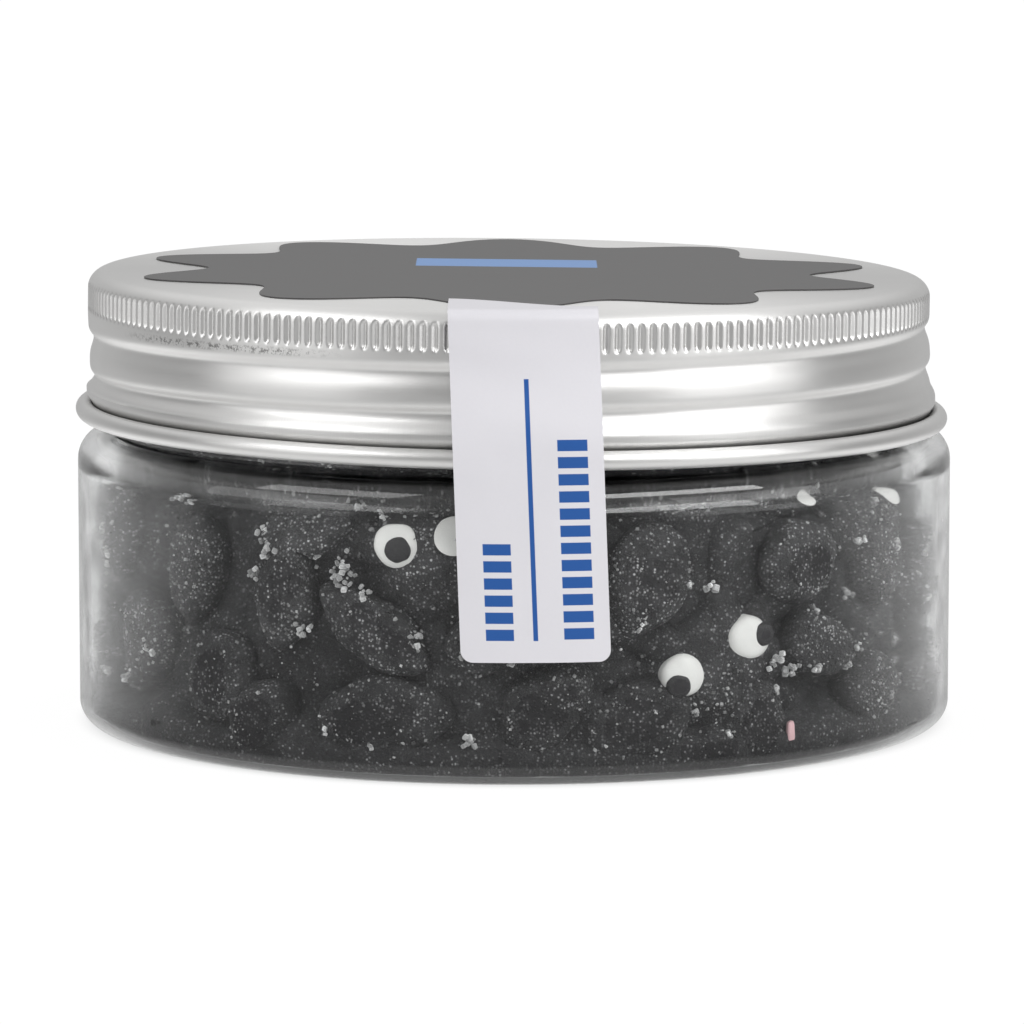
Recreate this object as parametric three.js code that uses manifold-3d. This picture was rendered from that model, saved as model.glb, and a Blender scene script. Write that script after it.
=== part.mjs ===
// A low, wide, clear jar of sugar-coated jelly spiders under a rolled aluminium screw lid, sealed by a paper strip.
// Millimetres, +Z up, with the origin on the table under the middle of the jar. -Y is the front, where the strip is.
// Azimuths are in degrees, 0 at the front and growing to the right.
import * as THREE from "three";
import { mergeVertices } from "three/addons/utils/BufferGeometryUtils.js";
import Module from "manifold-3d";

const wasm = await Module();
wasm.setup();

// ---- Jar: blown clear plastic, with a pushed-up base, a rounded foot, a shoulder and a neck under the lid.
const JAR_RADIUS = 46.5;
const JAR_WALL = 1.2;
const FOOT_ROUNDING = 2.2;
const FOOT_INNER_ROUNDING = 1.7;
const FOOT_RING_INNER_RADIUS = 37; // the jar stands on the ring outside this
const BASE_PUSH_UP = 0.8;
const BASE_SLOPE = 2; // width of the slope from the ring up to the middle of the base
const SHOULDER_START = 28;
const SHOULDER_ROUNDING = 3;
const NECK_RADIUS = 42.6;
const NECK_TOP = 45.6;
const JAR_SEGMENTS = 42;

// ---- Lid: rolled sheet with a fluted grip, a rolled thread and a curled lower edge.
const LID_TOP = 47.5;
const LID_RADIUS = 44.75;
const LID_EDGE_ROUNDING = 1.8;
const LID_INNER_RADIUS = 43.7;
const LID_SHEET = 0.7; // thicker than real sheet, so that it is a sound solid
const LID_TILT = 0.7; // degrees: it is screwed on a little askew, its left side high
const LID_SHIFT = -0.69; // and it sits a little to the left
const CURL_SHIFT = 0.43; // of the curl to the right of the lid's top, as the skirt is a little out of true
const SKIRT_FLARE = 0.45; // how far the skirt widens just above the curl
const SKIRT_FLARE_TOP = 36.6;
const SKIRT_BOTTOM = 35.2;
const SKIRT_TOP = 43.1;
const SKIRT_RINGS = 9;
const CURL_RADIUS = 0.98;
const CURL_CENTRE_RADIUS = 45.45;
const CURL_CENTRE_HEIGHT = 32.85;
const LID_SEGMENTS = 48;

const FLUTES = 230;
const FLUTE_DEPTH = 0.35;
const FLUTE_TOP = 46.4;
const FLUTE_BOTTOM = 43.5;
const FLUTE_LAP = 0.05; // how far the fluted ring stays inside the band that it is joined to

const THREAD_PITCH = 4.23; // six turns to the inch
const THREAD_START_AZIMUTH = 90; // where the groove is first fully formed
const THREAD_START_HEIGHT = 42.6;
const THREAD_TURNS = 1.75;
const THREAD_FADE = 0.2; // turns over which the groove runs in, and out again
const THREAD_DEPTH = 0.52;
const THREAD_UPPER_WIDTH = 0.65; // from the bottom of the groove up: its upper side is the steeper one
const THREAD_LOWER_WIDTH = 1.2;

// ---- Labels, stood off by the gap that keeps faceted neighbours apart.
const PAPER = 0.2;
const GAP = 0.25;
const ROSETTE_RADIUS = 36;
const ROSETTE_WAVE = 4;
const ROSETTE_LOBES = 10;
const ROSETTE_POINTS_PER_LOBE = 7;

const STRIP_WIDTH = 15;
const STRIP_BOTTOM = 12.7;
const STRIP_LEAN = 2.15; // degrees: its foot lies to the right of its head
const STRIP_SHIFT = 0.9; // to the right of the middle, at the head
const STRIP_CORNER = 1.2;
const STRIP_STAND_OFF = GAP + 0.1; // a little more, as the flat facets of the strip cut across the jar's curve
const STRIP_BEND = 1.6; // rounding over the lid's edge
const STRIP_FREE_TOP = 43; // below this the strip leaves the skirt, and reaches the jar's wall at the next height
const STRIP_FREE_BOTTOM = 34;
const STRIP_HEIGHTS = [43, 41, 39, 37, 35.5, 34, 28, 20]; // of its rows on the way down
const STRIP_HEAD_LEFT = 33.2; // the head's distance from the axis on each side, as it was cut on a slant
const STRIP_HEAD_RIGHT = 41.6;
const STRIP_COLUMNS = 6;

// ---- Sweets: a domed body, eight fat round-ended legs and two eyes. X is ahead, Y to its left, Z up.
const BODY_HALF_THICKNESS = 4.9;
const ROOT_RADIUS = 6.4; // where the ridge of a leg leaves the dome
const ROOT_HEIGHT = 4.3;
const CROTCH_RADIUS = 8.8; // from the middle of the body to where two legs part
const LEG_REACH = 16.6; // to the tip
const LEG_ROUND = 2.6; // length of the rounded end
const LEG_RIDGE_INSET = 0.8; // of the ridge's end behind that rounded end
const LEG_HALF_WIDTH = 3.2;
const LEG_HALF_THICKNESS = 3;
const LEG_ANGLES = [33, 68, 104, 142, 218, 256, 292, 327]; // from straight ahead, to the left
const BACK_SWELL = 0.78; // how domed the back is, next to the face
const UNDERSIDE_DEPTH = 2.6; // of the side that doesn't show, below the widest outline
const UNDERSIDE_BEVEL = 0.8;
const UNDERSIDE_NARROWING = 0.7;
const EYE_RADIUS = 2.1;
const EYE_AHEAD = 2.4;
const EYE_APART = 7.8;
const EYE_ROOT = 1.5; // where the white mound starts, inside the dome
const EYE_WAIST = 3.9; // height where it starts to round over
const EYE_WAIST_RADIUS = 1.9;
const EYE_TOP = 4.8;
const EYE_SIDES = 6;
const PUPIL_RADIUS = 1.3;
const PUPIL_RISE = 1;

const SWEETS_GAP = 0.3; // to the inside of the jar
const SWEETS_TOP = 42.6;
const NARROWING_START = 21; // height where the heap starts to draw in towards the neck
const WALL_BEND_RADIUS = 42; // sweets along the wall are bent to this radius
const WALL_REACH = 39.8; // from the axis to the middle of a sweet at the wall
const CORE_DEPTH = 6; // from the inside of the jar to the core
const CORE_BOTTOM = 4.5;
const CORE_TOP = 39;
const CORE_CHAMFER = 3;
const CORE_SIDES = 20;
const HEAP_SEED = 20317;

// Sweets that show through the front of the jar. azimuth and height give the middle of the body, reach its distance
// from the axis, spin the way its head points: 0 is up, and positive to the left as seen from outside. nod lifts the
// head off the wall and roll the left side. A sweet with faceIn shows its back.
const SHOWN_SWEETS = [
  { azimuth: 28.6, height: 10, reach: 40, spin: 25, nod: 0, roll: 0, faceIn: false },
  { azimuth: -9.6, height: 22.6, reach: 39.8, spin: 11, nod: 4, roll: 0, faceIn: false },
  { azimuth: -8, height: 9, reach: 40, spin: 158, nod: -4, roll: 4, faceIn: true },
  { azimuth: 23, height: 24, reach: 39, spin: -8, nod: 4, roll: -4, faceIn: true },
  { azimuth: -30, height: 26.5, reach: 39.6, spin: 140, nod: -4, roll: 4, faceIn: true },
  { azimuth: -44, height: 9.6, reach: 39.8, spin: 60, nod: 4, roll: 4, faceIn: true },
  { azimuth: -66, height: 19.5, reach: 39.6, spin: -30, nod: -4, roll: 4, faceIn: true },
  { azimuth: 59, height: 12.5, reach: 39.6, spin: -105, nod: 4, roll: -4, faceIn: true },
  { azimuth: 57, height: 26.3, reach: 39.6, spin: -21, nod: 0, roll: 0, faceIn: false },
];
// Rings of sweets round the rest of the wall, from one azimuth to another, and how unevenly they lie.
const WALL_RINGS = [
  { height: 10.5, from: 98, to: 262, count: 4 },
  { height: 21.5, from: 118, to: 284, count: 4 },
];
const WALL_UNEVENNESS = { azimuth: 4, height: 1.2, reach: 0.8, tilt: 6, faceInShare: 0.6 };
// Sweets that lie flat: on the floor, where they show through the base, and under the lid.
const FLAT_LAYERS = [
  { height: 5, reach: 20, count: 3 },
  { height: 38.6, reach: 18, count: 3 },
];
const FLAT_UNEVENNESS = { azimuth: 12, height: 0.4, reach: 1, tilt: 8, faceInShare: 0.5 };

// ---- Solids and meshes

const WELD_DISTANCE = 1e-4;

// A closed three.js geometry as a solid that can be joined and cut.
function solidOf(geometry) {
  const bare = geometry.clone().deleteAttribute("normal").deleteAttribute("uv");
  const merged = mergeVertices(bare, WELD_DISTANCE);
  return new wasm.Manifold(
    new wasm.Mesh({
      numProp: 3,
      vertProperties: merged.attributes.position.array,
      triVerts: new Uint32Array(merged.index.array),
    }),
  );
}

function geometryOf(solid) {
  const mesh = solid.getMesh();
  return new THREE.BufferGeometry()
    .setAttribute("position", new THREE.BufferAttribute(mesh.vertProperties, 3))
    .setIndex(new THREE.BufferAttribute(mesh.triVerts, 1));
}

// Only the largest shell of a mesh. Joining can seal small hollows in it, which are filled, and leave loose scraps.
function outerShell(geometry) {
  const index = geometry.index.array;
  const parent = Array.from({ length: geometry.attributes.position.count }, (_, i) => i);
  const rootOf = (vertex) => {
    let root = vertex;
    while (parent[root] !== root) root = parent[root];
    parent[vertex] = root;
    return root;
  };
  for (let i = 0; i < index.length; i += 3) {
    parent[rootOf(index[i + 1])] = rootOf(index[i]);
    parent[rootOf(index[i + 2])] = rootOf(index[i]);
  }
  const shells = new Map();
  for (let i = 0; i < index.length; i += 3) {
    const root = rootOf(index[i]);
    if (!shells.has(root)) shells.set(root, []);
    shells.get(root).push(index[i], index[i + 1], index[i + 2]);
  }
  const largest = [...shells.values()].sort((a, b) => b.length - a.length)[0];
  return geometry.setIndex(largest).toNonIndexed();
}

function named(name, geometry, material) {
  geometry.computeVertexNormals();
  const mesh = new THREE.Mesh(geometry, material);
  mesh.name = name;
  return mesh;
}

const radians = THREE.MathUtils.degToRad;
const degrees = THREE.MathUtils.radToDeg;
const lerp = THREE.MathUtils.lerp;

function smoothstep(low, high, value) {
  return THREE.MathUtils.smoothstep(value, low, high);
}

function around(azimuth, radius, height) {
  const angle = radians(azimuth);
  return new THREE.Vector3(radius * Math.sin(angle), -radius * Math.cos(angle), height);
}

// Points of a profile are [distance from the axis, height].
function arc(radius, height, rounding, from, to, steps) {
  return Array.from({ length: steps + 1 }, (_, i) => {
    const angle = radians(lerp(from, to, i / steps));
    return [radius + rounding * Math.cos(angle), height + rounding * Math.sin(angle)];
  });
}

// A lathe round +Z. The profile starts and ends on the axis and has the material on its left.
function turned(profile, segments) {
  const points = profile.map(([radius, height]) => new THREE.Vector2(radius, height));
  return new THREE.LatheGeometry(points, segments).rotateX(Math.PI / 2);
}

// ---- Jar

function makeJar() {
  const inner = JAR_RADIUS - JAR_WALL;
  const neckInner = NECK_RADIUS - JAR_WALL;
  const shoulderTop = SHOULDER_START + SHOULDER_ROUNDING;
  const recessRadius = FOOT_RING_INNER_RADIUS - BASE_SLOPE;
  const profile = [
    [0, BASE_PUSH_UP],
    [recessRadius, BASE_PUSH_UP],
    [FOOT_RING_INNER_RADIUS, 0],
    ...arc(JAR_RADIUS - FOOT_ROUNDING, FOOT_ROUNDING, FOOT_ROUNDING, -90, 0, 3),
    ...arc(JAR_RADIUS - SHOULDER_ROUNDING, SHOULDER_START, SHOULDER_ROUNDING, 0, 90, 3),
    [NECK_RADIUS, shoulderTop],
    [NECK_RADIUS, NECK_TOP],
    [neckInner, NECK_TOP],
    [neckInner, shoulderTop - JAR_WALL],
    ...arc(inner - SHOULDER_ROUNDING, SHOULDER_START - JAR_WALL, SHOULDER_ROUNDING, 90, 0, 2),
    ...arc(inner - FOOT_INNER_ROUNDING, JAR_WALL + FOOT_INNER_ROUNDING, FOOT_INNER_ROUNDING, 0, -90, 2),
    [FOOT_RING_INNER_RADIUS, JAR_WALL],
    [recessRadius, BASE_PUSH_UP + JAR_WALL],
    [0, BASE_PUSH_UP + JAR_WALL],
  ];
  const plastic = new THREE.MeshStandardMaterial({
    color: 0xeef0f0, roughness: 0.08, metalness: 0, transparent: true, opacity: 0.25,
  });
  return named("jar", turned(profile, JAR_SEGMENTS), plastic);
}

// ---- Lid

// How deep the rolled thread is at a place on the skirt. Its groove falls from right to left across the front.
function threadDepth(azimuth, height) {
  let deepest = 0;
  for (let turn = -1; turn <= Math.ceil(THREAD_TURNS); turn += 1) {
    const run = (THREAD_START_AZIMUTH - azimuth) / 360 + turn;
    const formed = smoothstep(-THREAD_FADE, 0, run) * (1 - smoothstep(THREAD_TURNS, THREAD_TURNS + THREAD_FADE, run));
    const above = height - THREAD_START_HEIGHT + THREAD_PITCH * run;
    const across = above / (above > 0 ? THREAD_UPPER_WIDTH : THREAD_LOWER_WIDTH);
    deepest = Math.max(deepest, THREAD_DEPTH * formed * Math.exp(-across * across));
  }
  return deepest;
}

function skirtProfile() {
  return Array.from({ length: SKIRT_RINGS + 1 }, (_, i) => {
    const height = lerp(SKIRT_BOTTOM, SKIRT_TOP, i / SKIRT_RINGS);
    const flare = SKIRT_FLARE * (1 - smoothstep(SKIRT_BOTTOM, SKIRT_FLARE_TOP, height));
    return [LID_RADIUS + flare, height];
  });
}

// The lid without its flutes, with the thread pressed into the skirt, which leans over to the curl's place.
function makeLidBody() {
  const fluteRoot = LID_RADIUS - FLUTE_DEPTH;
  const ceiling = LID_TOP - LID_SHEET;
  const edge = LID_RADIUS - LID_EDGE_ROUNDING;
  const profile = [
    [0, ceiling],
    [LID_INNER_RADIUS - LID_SHEET, ceiling],
    [LID_INNER_RADIUS, ceiling - LID_SHEET],
    [LID_INNER_RADIUS, CURL_CENTRE_HEIGHT],
    ...arc(CURL_CENTRE_RADIUS, CURL_CENTRE_HEIGHT, CURL_RADIUS, -120, 95, 5),
    ...skirtProfile(),
    [fluteRoot, FLUTE_BOTTOM],
    [fluteRoot, FLUTE_TOP],
    ...arc(edge, LID_TOP - LID_EDGE_ROUNDING, LID_EDGE_ROUNDING, 35, 90, 3),
    [0, LID_TOP],
  ];
  const geometry = turned(profile, LID_SEGMENTS);
  const position = geometry.attributes.position;
  for (let i = 0; i < position.count; i += 1) {
    const [x, y, height] = [position.getX(i), position.getY(i), position.getZ(i)];
    const radius = Math.hypot(x, y);
    const onSkirt = radius > LID_RADIUS - FLUTE_LAP && height >= SKIRT_BOTTOM && height <= SKIRT_TOP;
    const depth = onSkirt ? threadDepth(degrees(Math.atan2(x, -y)), height) : 0;
    const pressed = (radius - depth) / radius;
    const share = THREE.MathUtils.clamp((SKIRT_TOP - height) / (SKIRT_TOP - CURL_CENTRE_HEIGHT), 0, 1);
    position.setXY(i, x * pressed + CURL_SHIFT * share, y * pressed);
  }
  return solidOf(geometry);
}

// The fluted grip: a ring with one ridge and one flute for each step round.
function makeFlutes() {
  const points = Array.from({ length: 2 * FLUTES }, (_, i) => {
    const angle = (Math.PI * i) / FLUTES;
    const radius = i % 2 ? LID_RADIUS - FLUTE_DEPTH + FLUTE_LAP : LID_RADIUS;
    return new THREE.Vector2(radius * Math.cos(angle), radius * Math.sin(angle));
  });
  const shape = new THREE.Shape(points);
  shape.holes.push(new THREE.Path().absarc(0, 0, LID_RADIUS - LID_SHEET, 0, 2 * Math.PI, true));
  const depth = FLUTE_TOP - FLUTE_BOTTOM - 2 * FLUTE_LAP;
  const ring = new THREE.ExtrudeGeometry(shape, { depth, bevelEnabled: false, curveSegments: LID_SEGMENTS / 2 });
  return solidOf(ring.translate(0, 0, FLUTE_BOTTOM + FLUTE_LAP));
}

function makeLid() {
  const aluminium = new THREE.MeshStandardMaterial({ color: 0xc9c8c6, roughness: 0.35, metalness: 1 });
  return named("lid", geometryOf(makeLidBody().add(makeFlutes())), aluminium);
}

// ---- Labels

// The dark rosette on top of the lid: a plain wavy-edged disc.
function makeLidLabel() {
  const count = ROSETTE_LOBES * ROSETTE_POINTS_PER_LOBE;
  const points = Array.from({ length: count }, (_, i) => {
    const angle = (2 * Math.PI * i) / count;
    const radius = ROSETTE_RADIUS + ROSETTE_WAVE * Math.cos(ROSETTE_LOBES * angle);
    return new THREE.Vector2(radius * Math.sin(angle), -radius * Math.cos(angle));
  });
  const disc = new THREE.ExtrudeGeometry(new THREE.Shape(points), { depth: PAPER, bevelEnabled: false });
  disc.translate(0, 0, LID_TOP + GAP);
  return named("lid_label", disc, new THREE.MeshStandardMaterial({ color: 0x6b6a6a, roughness: 0.45 }));
}

// The strip's run, from its head on top of the lid, over the edge and down to its foot on the wall, as [distance from
// the axis, height, how far each side is drawn in for the foot's rounded corners].
function stripRun(headRadius) {
  const top = LID_TOP + 2 * GAP + PAPER;
  const edge = LID_RADIUS + STRIP_STAND_OFF;
  const wall = JAR_RADIUS + STRIP_STAND_OFF;
  const radiusAt = (height) => lerp(wall, edge, smoothstep(STRIP_FREE_BOTTOM, STRIP_FREE_TOP, height));
  return [
    [headRadius, top, 0],
    ...arc(edge - STRIP_BEND, top - STRIP_BEND, STRIP_BEND, 90, 0, 4).map((point) => [...point, 0]),
    ...STRIP_HEIGHTS.map((height) => [radiusAt(height), height, 0]),
    ...[1, 0.3, 0].map((lift) => [wall, STRIP_BOTTOM + STRIP_CORNER * lift, STRIP_CORNER * (1 - lift) ** 2]),
  ];
}

// A solid through rings of points that go round a thin section: along one face and back along the other.
function thinLoft(rings) {
  const count = rings[0].length;
  const triangles = [];
  const quad = (a, b, c, d) => triangles.push(a, b, c, a, c, d);
  for (let ring = 0; ring + 1 < rings.length; ring += 1)
    for (let i = 0; i < count; i += 1) {
      const [here, next] = [ring * count + i, ring * count + ((i + 1) % count)];
      quad(here, here + count, next + count, next);
    }
  const end = (rings.length - 1) * count;
  for (let i = 0; i + 1 < count / 2; i += 1) {
    const [opposite, before] = [count - 1 - i, count - 2 - i];
    quad(i, i + 1, before, opposite);
    quad(end + i, end + opposite, end + before, end + i + 1);
  }
  return new THREE.BufferGeometry().setFromPoints(rings.flat()).setIndex(triangles);
}

function makeSealStrip() {
  const columns = Array.from({ length: STRIP_COLUMNS + 1 }, (_, i) => i / STRIP_COLUMNS - 0.5);
  const runs = columns.map((across) => {
    const slant = smoothstep(-0.5, 0.5, across);
    return stripRun(lerp(STRIP_HEAD_LEFT, STRIP_HEAD_RIGHT, slant));
  });
  const rings = runs[0].map((_, row) => {
    const face = (lift) => columns.map((across, column) => {
      const run = runs[column];
      const [radius, height, drawnIn] = run[row];
      const [before, after] = [run[Math.max(row - 1, 0)], run[Math.min(row + 1, run.length - 1)]];
      const along = new THREE.Vector2(after[0] - before[0], after[1] - before[1]).normalize();
      const outerRadius = radius - along.y * lift;
      const lean = Math.tan(radians(STRIP_LEAN)) * (LID_TOP - height);
      const x = across * (STRIP_WIDTH - 2 * drawnIn) + lean + STRIP_SHIFT;
      return new THREE.Vector3(x, -Math.sqrt(outerRadius ** 2 - x * x), height + along.x * lift);
    });
    return [...face(PAPER), ...face(0).reverse()];
  });
  return named("seal_strip", thinLoft(rings), new THREE.MeshStandardMaterial({ color: 0xe9e9ec, roughness: 0.5 }));
}

// ---- Sweets

// A sweet without its eyes, as one faceted solid. A ridge runs out along each leg on the side that shows, which is
// flatter on a sweet's back. The side turned to the middle of the jar is plain.
function sweetBody(faceIn) {
  const swell = faceIn ? BACK_SWELL : 1;
  const vertices = [];
  const vertex = (radius, angle, height, across = 0) => {
    const [cos, sin] = [Math.cos(radians(angle)), Math.sin(radians(angle))];
    vertices.push(new THREE.Vector3(radius * cos - across * sin, radius * sin + across * cos, height));
    return vertices.length - 1;
  };
  const straight = LEG_REACH - LEG_ROUND;
  const rim = [];
  const legs = LEG_ANGLES.map((angle, i) => {
    const next = i + 1 < LEG_ANGLES.length ? LEG_ANGLES[i + 1] : LEG_ANGLES[0] + 360;
    const corners = [
      [straight, angle, -LEG_HALF_WIDTH],
      [LEG_REACH, angle, 0],
      [straight, angle, LEG_HALF_WIDTH],
      [CROTCH_RADIUS, (angle + next) / 2, 0],
    ];
    const [right, tip, left, crotch] = corners.map(([radius, at, across]) => {
      const upper = vertex(radius, at, 0, across);
      const lower = vertex(radius - UNDERSIDE_BEVEL, at, -UNDERSIDE_DEPTH, across * UNDERSIDE_NARROWING);
      rim.push([upper, lower]);
      return upper;
    });
    const ridge = vertex(straight - LEG_RIDGE_INSET, angle, LEG_HALF_THICKNESS * swell);
    const root = vertex(ROOT_RADIUS, angle, ROOT_HEIGHT * swell);
    return { right, tip, left, crotch, ridge, root };
  });
  const middle = vertex(0, 0, BODY_HALF_THICKNESS * swell);
  const underside = vertex(0, 0, -UNDERSIDE_DEPTH);
  const triangles = [];
  legs.forEach((leg, i) => {
    const next = legs[(i + 1) % legs.length];
    const before = legs[(i + legs.length - 1) % legs.length];
    triangles.push(leg.ridge, leg.right, leg.tip, leg.ridge, leg.tip, leg.left);
    triangles.push(leg.ridge, leg.left, leg.root, leg.root, leg.right, leg.ridge);
    triangles.push(leg.root, leg.left, leg.crotch, leg.root, before.crotch, leg.right);
    triangles.push(leg.root, leg.crotch, next.root, middle, leg.root, next.root);
  });
  rim.forEach(([upper, lower], i) => {
    const [nextUpper, nextLower] = rim[(i + 1) % rim.length];
    triangles.push(upper, lower, nextLower, upper, nextLower, nextUpper, underside, nextLower, lower);
  });
  return new THREE.BufferGeometry().setFromPoints(vertices).setIndex(triangles);
}

function sweetEye(side) {
  const profile = [
    [0, EYE_ROOT],
    [EYE_RADIUS, EYE_ROOT],
    [EYE_WAIST_RADIUS, EYE_WAIST],
    [PUPIL_RADIUS, EYE_TOP],
    [0, EYE_TOP + PUPIL_RISE],
  ];
  return turned(profile, EYE_SIDES).translate(EYE_AHEAD, (side * EYE_APART) / 2, 0);
}

function sweetParts(faceIn) {
  return faceIn ? [sweetBody(true)] : [sweetBody(false), sweetEye(-1), sweetEye(1)];
}

// Even pseudo-random numbers from 0 to 1, the same ones each time.
function randomNumbers(seed) {
  let state = seed;
  return () => {
    state = (state * 16807) % 2147483647;
    return state / 2147483647;
  };
}

// Where each sweet lies: along the wall, or flat on the floor and under the lid.
function heapPlaces() {
  const random = randomNumbers(HEAP_SEED);
  const spread = (most) => (random() * 2 - 1) * most;
  const place = (azimuth, height, reach, flat, uneven) => ({
    azimuth: azimuth + spread(uneven.azimuth),
    height: height + spread(uneven.height),
    reach: reach + spread(uneven.reach),
    spin: spread(180),
    nod: spread(uneven.tilt),
    roll: spread(uneven.tilt),
    faceIn: random() < uneven.faceInShare,
    flat,
  });
  const places = SHOWN_SWEETS.map((shown) => ({ ...shown, flat: false }));
  for (const { height, from, to, count } of WALL_RINGS)
    for (let i = 0; i < count; i += 1)
      places.push(place(lerp(from, to, i / (count - 1)), height, WALL_REACH, false, WALL_UNEVENNESS));
  for (const { height, reach, count } of FLAT_LAYERS)
    for (let i = 0; i < count; i += 1)
      places.push(place((360 * i) / count, height, reach, true, FLAT_UNEVENNESS));
  return places;
}

// Turns a sweet's own axes to those of its place: X to the right, Y up the wall and Z straight out from it.
function turnOf({ spin, nod, roll }) {
  return new THREE.Matrix4()
    .makeRotationZ(radians(90 + spin))
    .multiply(new THREE.Matrix4().makeRotationY(radians(-nod)))
    .multiply(new THREE.Matrix4().makeRotationX(radians(roll)));
}

// How far out the sweets may come at a height. The bounds are straight, so that faces between points keep to them.
function roomRadius(height) {
  const wall = JAR_RADIUS - JAR_WALL - SWEETS_GAP;
  const neck = NECK_RADIUS - JAR_WALL - SWEETS_GAP;
  const shoulder = SHOULDER_START + SHOULDER_ROUNDING - JAR_WALL;
  const slope = (wall - neck) / (shoulder - NARROWING_START);
  return Math.min(wall, wall - slope * (height - NARROWING_START), wall - FOOT_ROUNDING + height);
}

// Presses a point back inside the jar, as the sweets are squeezed flat where they meet it.
function squeeze(point) {
  point.z = THREE.MathUtils.clamp(point.z, BASE_PUSH_UP + JAR_WALL + SWEETS_GAP, SWEETS_TOP);
  const pressed = Math.min(1, roomRadius(point.z) / Math.hypot(point.x, point.y));
  return new THREE.Vector3(point.x * pressed, point.y * pressed, point.z);
}

// Moves a sweet's part to the wall, bent round with it, or to its spot in a flat layer, outer side up or down.
function settle(geometry, place) {
  geometry.applyMatrix4(turnOf(place));
  const position = geometry.attributes.position;
  const outward = place.height > CORE_TOP / 2 ? 1 : -1;
  for (let i = 0; i < position.count; i += 1) {
    const [x, y, z] = [position.getX(i), position.getY(i), position.getZ(i)];
    const point = place.flat
      ? around(place.azimuth, place.reach, place.height).add(new THREE.Vector3(x, outward * y, outward * z))
      : around(place.azimuth + degrees(x / WALL_BEND_RADIUS), place.reach + z, place.height + y);
    position.setXYZ(i, ...squeeze(point).toArray());
  }
  return geometry;
}

function heapCore() {
  const wall = JAR_RADIUS - JAR_WALL - CORE_DEPTH;
  const neck = NECK_RADIUS - JAR_WALL - CORE_DEPTH;
  return turned([
    [0, CORE_BOTTOM],
    [wall - CORE_CHAMFER, CORE_BOTTOM],
    [wall, CORE_BOTTOM + CORE_CHAMFER],
    [wall, SHOULDER_START - CORE_CHAMFER],
    [neck, SHOULDER_START],
    [neck, CORE_TOP],
    [0, CORE_TOP],
  ], CORE_SIDES);
}

function makeSweets() {
  let heap = solidOf(heapCore());
  for (const place of heapPlaces())
    for (const part of sweetParts(place.faceIn)) heap = heap.add(solidOf(settle(part, place)));
  const jelly = new THREE.MeshStandardMaterial({ color: 0x2c2b2e, roughness: 0.7 });
  return named("sweets", outerShell(geometryOf(heap)), jelly);
}

// ---- The whole. The lid and its label tilt together about the middle of the curl.

const lidGroup = new THREE.Group();
lidGroup.add(makeLid(), makeLidLabel());
for (const piece of lidGroup.children) piece.position.z = -CURL_CENTRE_HEIGHT;
lidGroup.rotation.y = radians(LID_TILT);
lidGroup.position.set(LID_SHIFT, 0, CURL_CENTRE_HEIGHT);

const jarOfSweets = new THREE.Group();
jarOfSweets.add(makeJar(), lidGroup, makeSealStrip(), makeSweets());
export default jarOfSweets;
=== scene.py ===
"""The looks of a low clear jar of sugared jelly spiders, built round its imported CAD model.

Pieces are worked out in millimetres, in the model's own frame: +Z up, -Y to the front and the origin on the
table under the middle of the jar. Azimuths are in degrees, 0 at the front and growing to the right.
"""

import math
from collections import namedtuple

import bpy
import numpy as np
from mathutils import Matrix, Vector


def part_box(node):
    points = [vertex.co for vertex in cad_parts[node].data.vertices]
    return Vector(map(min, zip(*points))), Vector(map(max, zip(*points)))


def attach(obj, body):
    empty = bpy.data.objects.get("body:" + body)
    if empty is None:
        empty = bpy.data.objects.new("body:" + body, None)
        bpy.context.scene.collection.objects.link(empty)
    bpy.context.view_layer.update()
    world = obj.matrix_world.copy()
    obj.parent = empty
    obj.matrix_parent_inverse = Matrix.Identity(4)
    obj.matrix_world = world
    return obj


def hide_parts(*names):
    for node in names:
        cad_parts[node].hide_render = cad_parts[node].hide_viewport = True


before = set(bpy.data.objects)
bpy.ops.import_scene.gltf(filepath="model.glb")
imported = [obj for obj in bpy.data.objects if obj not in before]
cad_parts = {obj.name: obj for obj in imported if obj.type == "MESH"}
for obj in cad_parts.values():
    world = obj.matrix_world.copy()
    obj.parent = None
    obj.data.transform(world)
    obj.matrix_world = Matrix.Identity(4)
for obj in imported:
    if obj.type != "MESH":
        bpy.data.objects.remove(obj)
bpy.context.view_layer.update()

MM = 0.001

# ---- Jar. Its radius and height are the model's.
JAR_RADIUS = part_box("jar")[1].y / MM
NECK_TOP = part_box("jar")[1].z / MM
JAR_WALL = 1.2
JAR_FLOOR = 0.8
INNER_RADIUS = JAR_RADIUS - JAR_WALL
FOOT_ROUNDING = 2.2
FOOT_INNER_ROUNDING = 1.4
FOOT_RING_INNER_RADIUS = 37
BASE_PUSH_UP = 0.8
BASE_SLOPE = 2
SHOULDER_START = 28
SHOULDER_ROUNDING = 3
NECK_RADIUS = 42.6
NECK_INNER_RADIUS = NECK_RADIUS - JAR_WALL
NECK_ROUNDING = 0.5
LIP_ROUNDING = 0.3
JAR_SEGMENTS = 240

# ---- Lid
LID_TOP = 47.5
LID_RADIUS = 44.75
LID_EDGE_ROUNDING = 1.8
LID_INNER_RADIUS = 43.7
LID_SHEET = 0.7
LID_TILT = 0.7
LID_SHIFT = -0.69
CURL_SHIFT = 0.43  # of the curl, as the skirt is a little out of true
SKIRT_TOP = 43.1
SKIRT_FLARE = 0.45
SKIRT_FLARE_TOP = 36.6
SKIRT_BOTTOM = 35.2
SKIRT_STEPS = 60
CURL_RADIUS = 0.98
CURL_CENTRE_RADIUS = 45.45
CURL_CENTRE_HEIGHT = 32.85
CREVICE_BOTTOM = 33.5  # of the narrow gap between the skirt and the curl
CREVICE_DEPTH = 0.55

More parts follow.
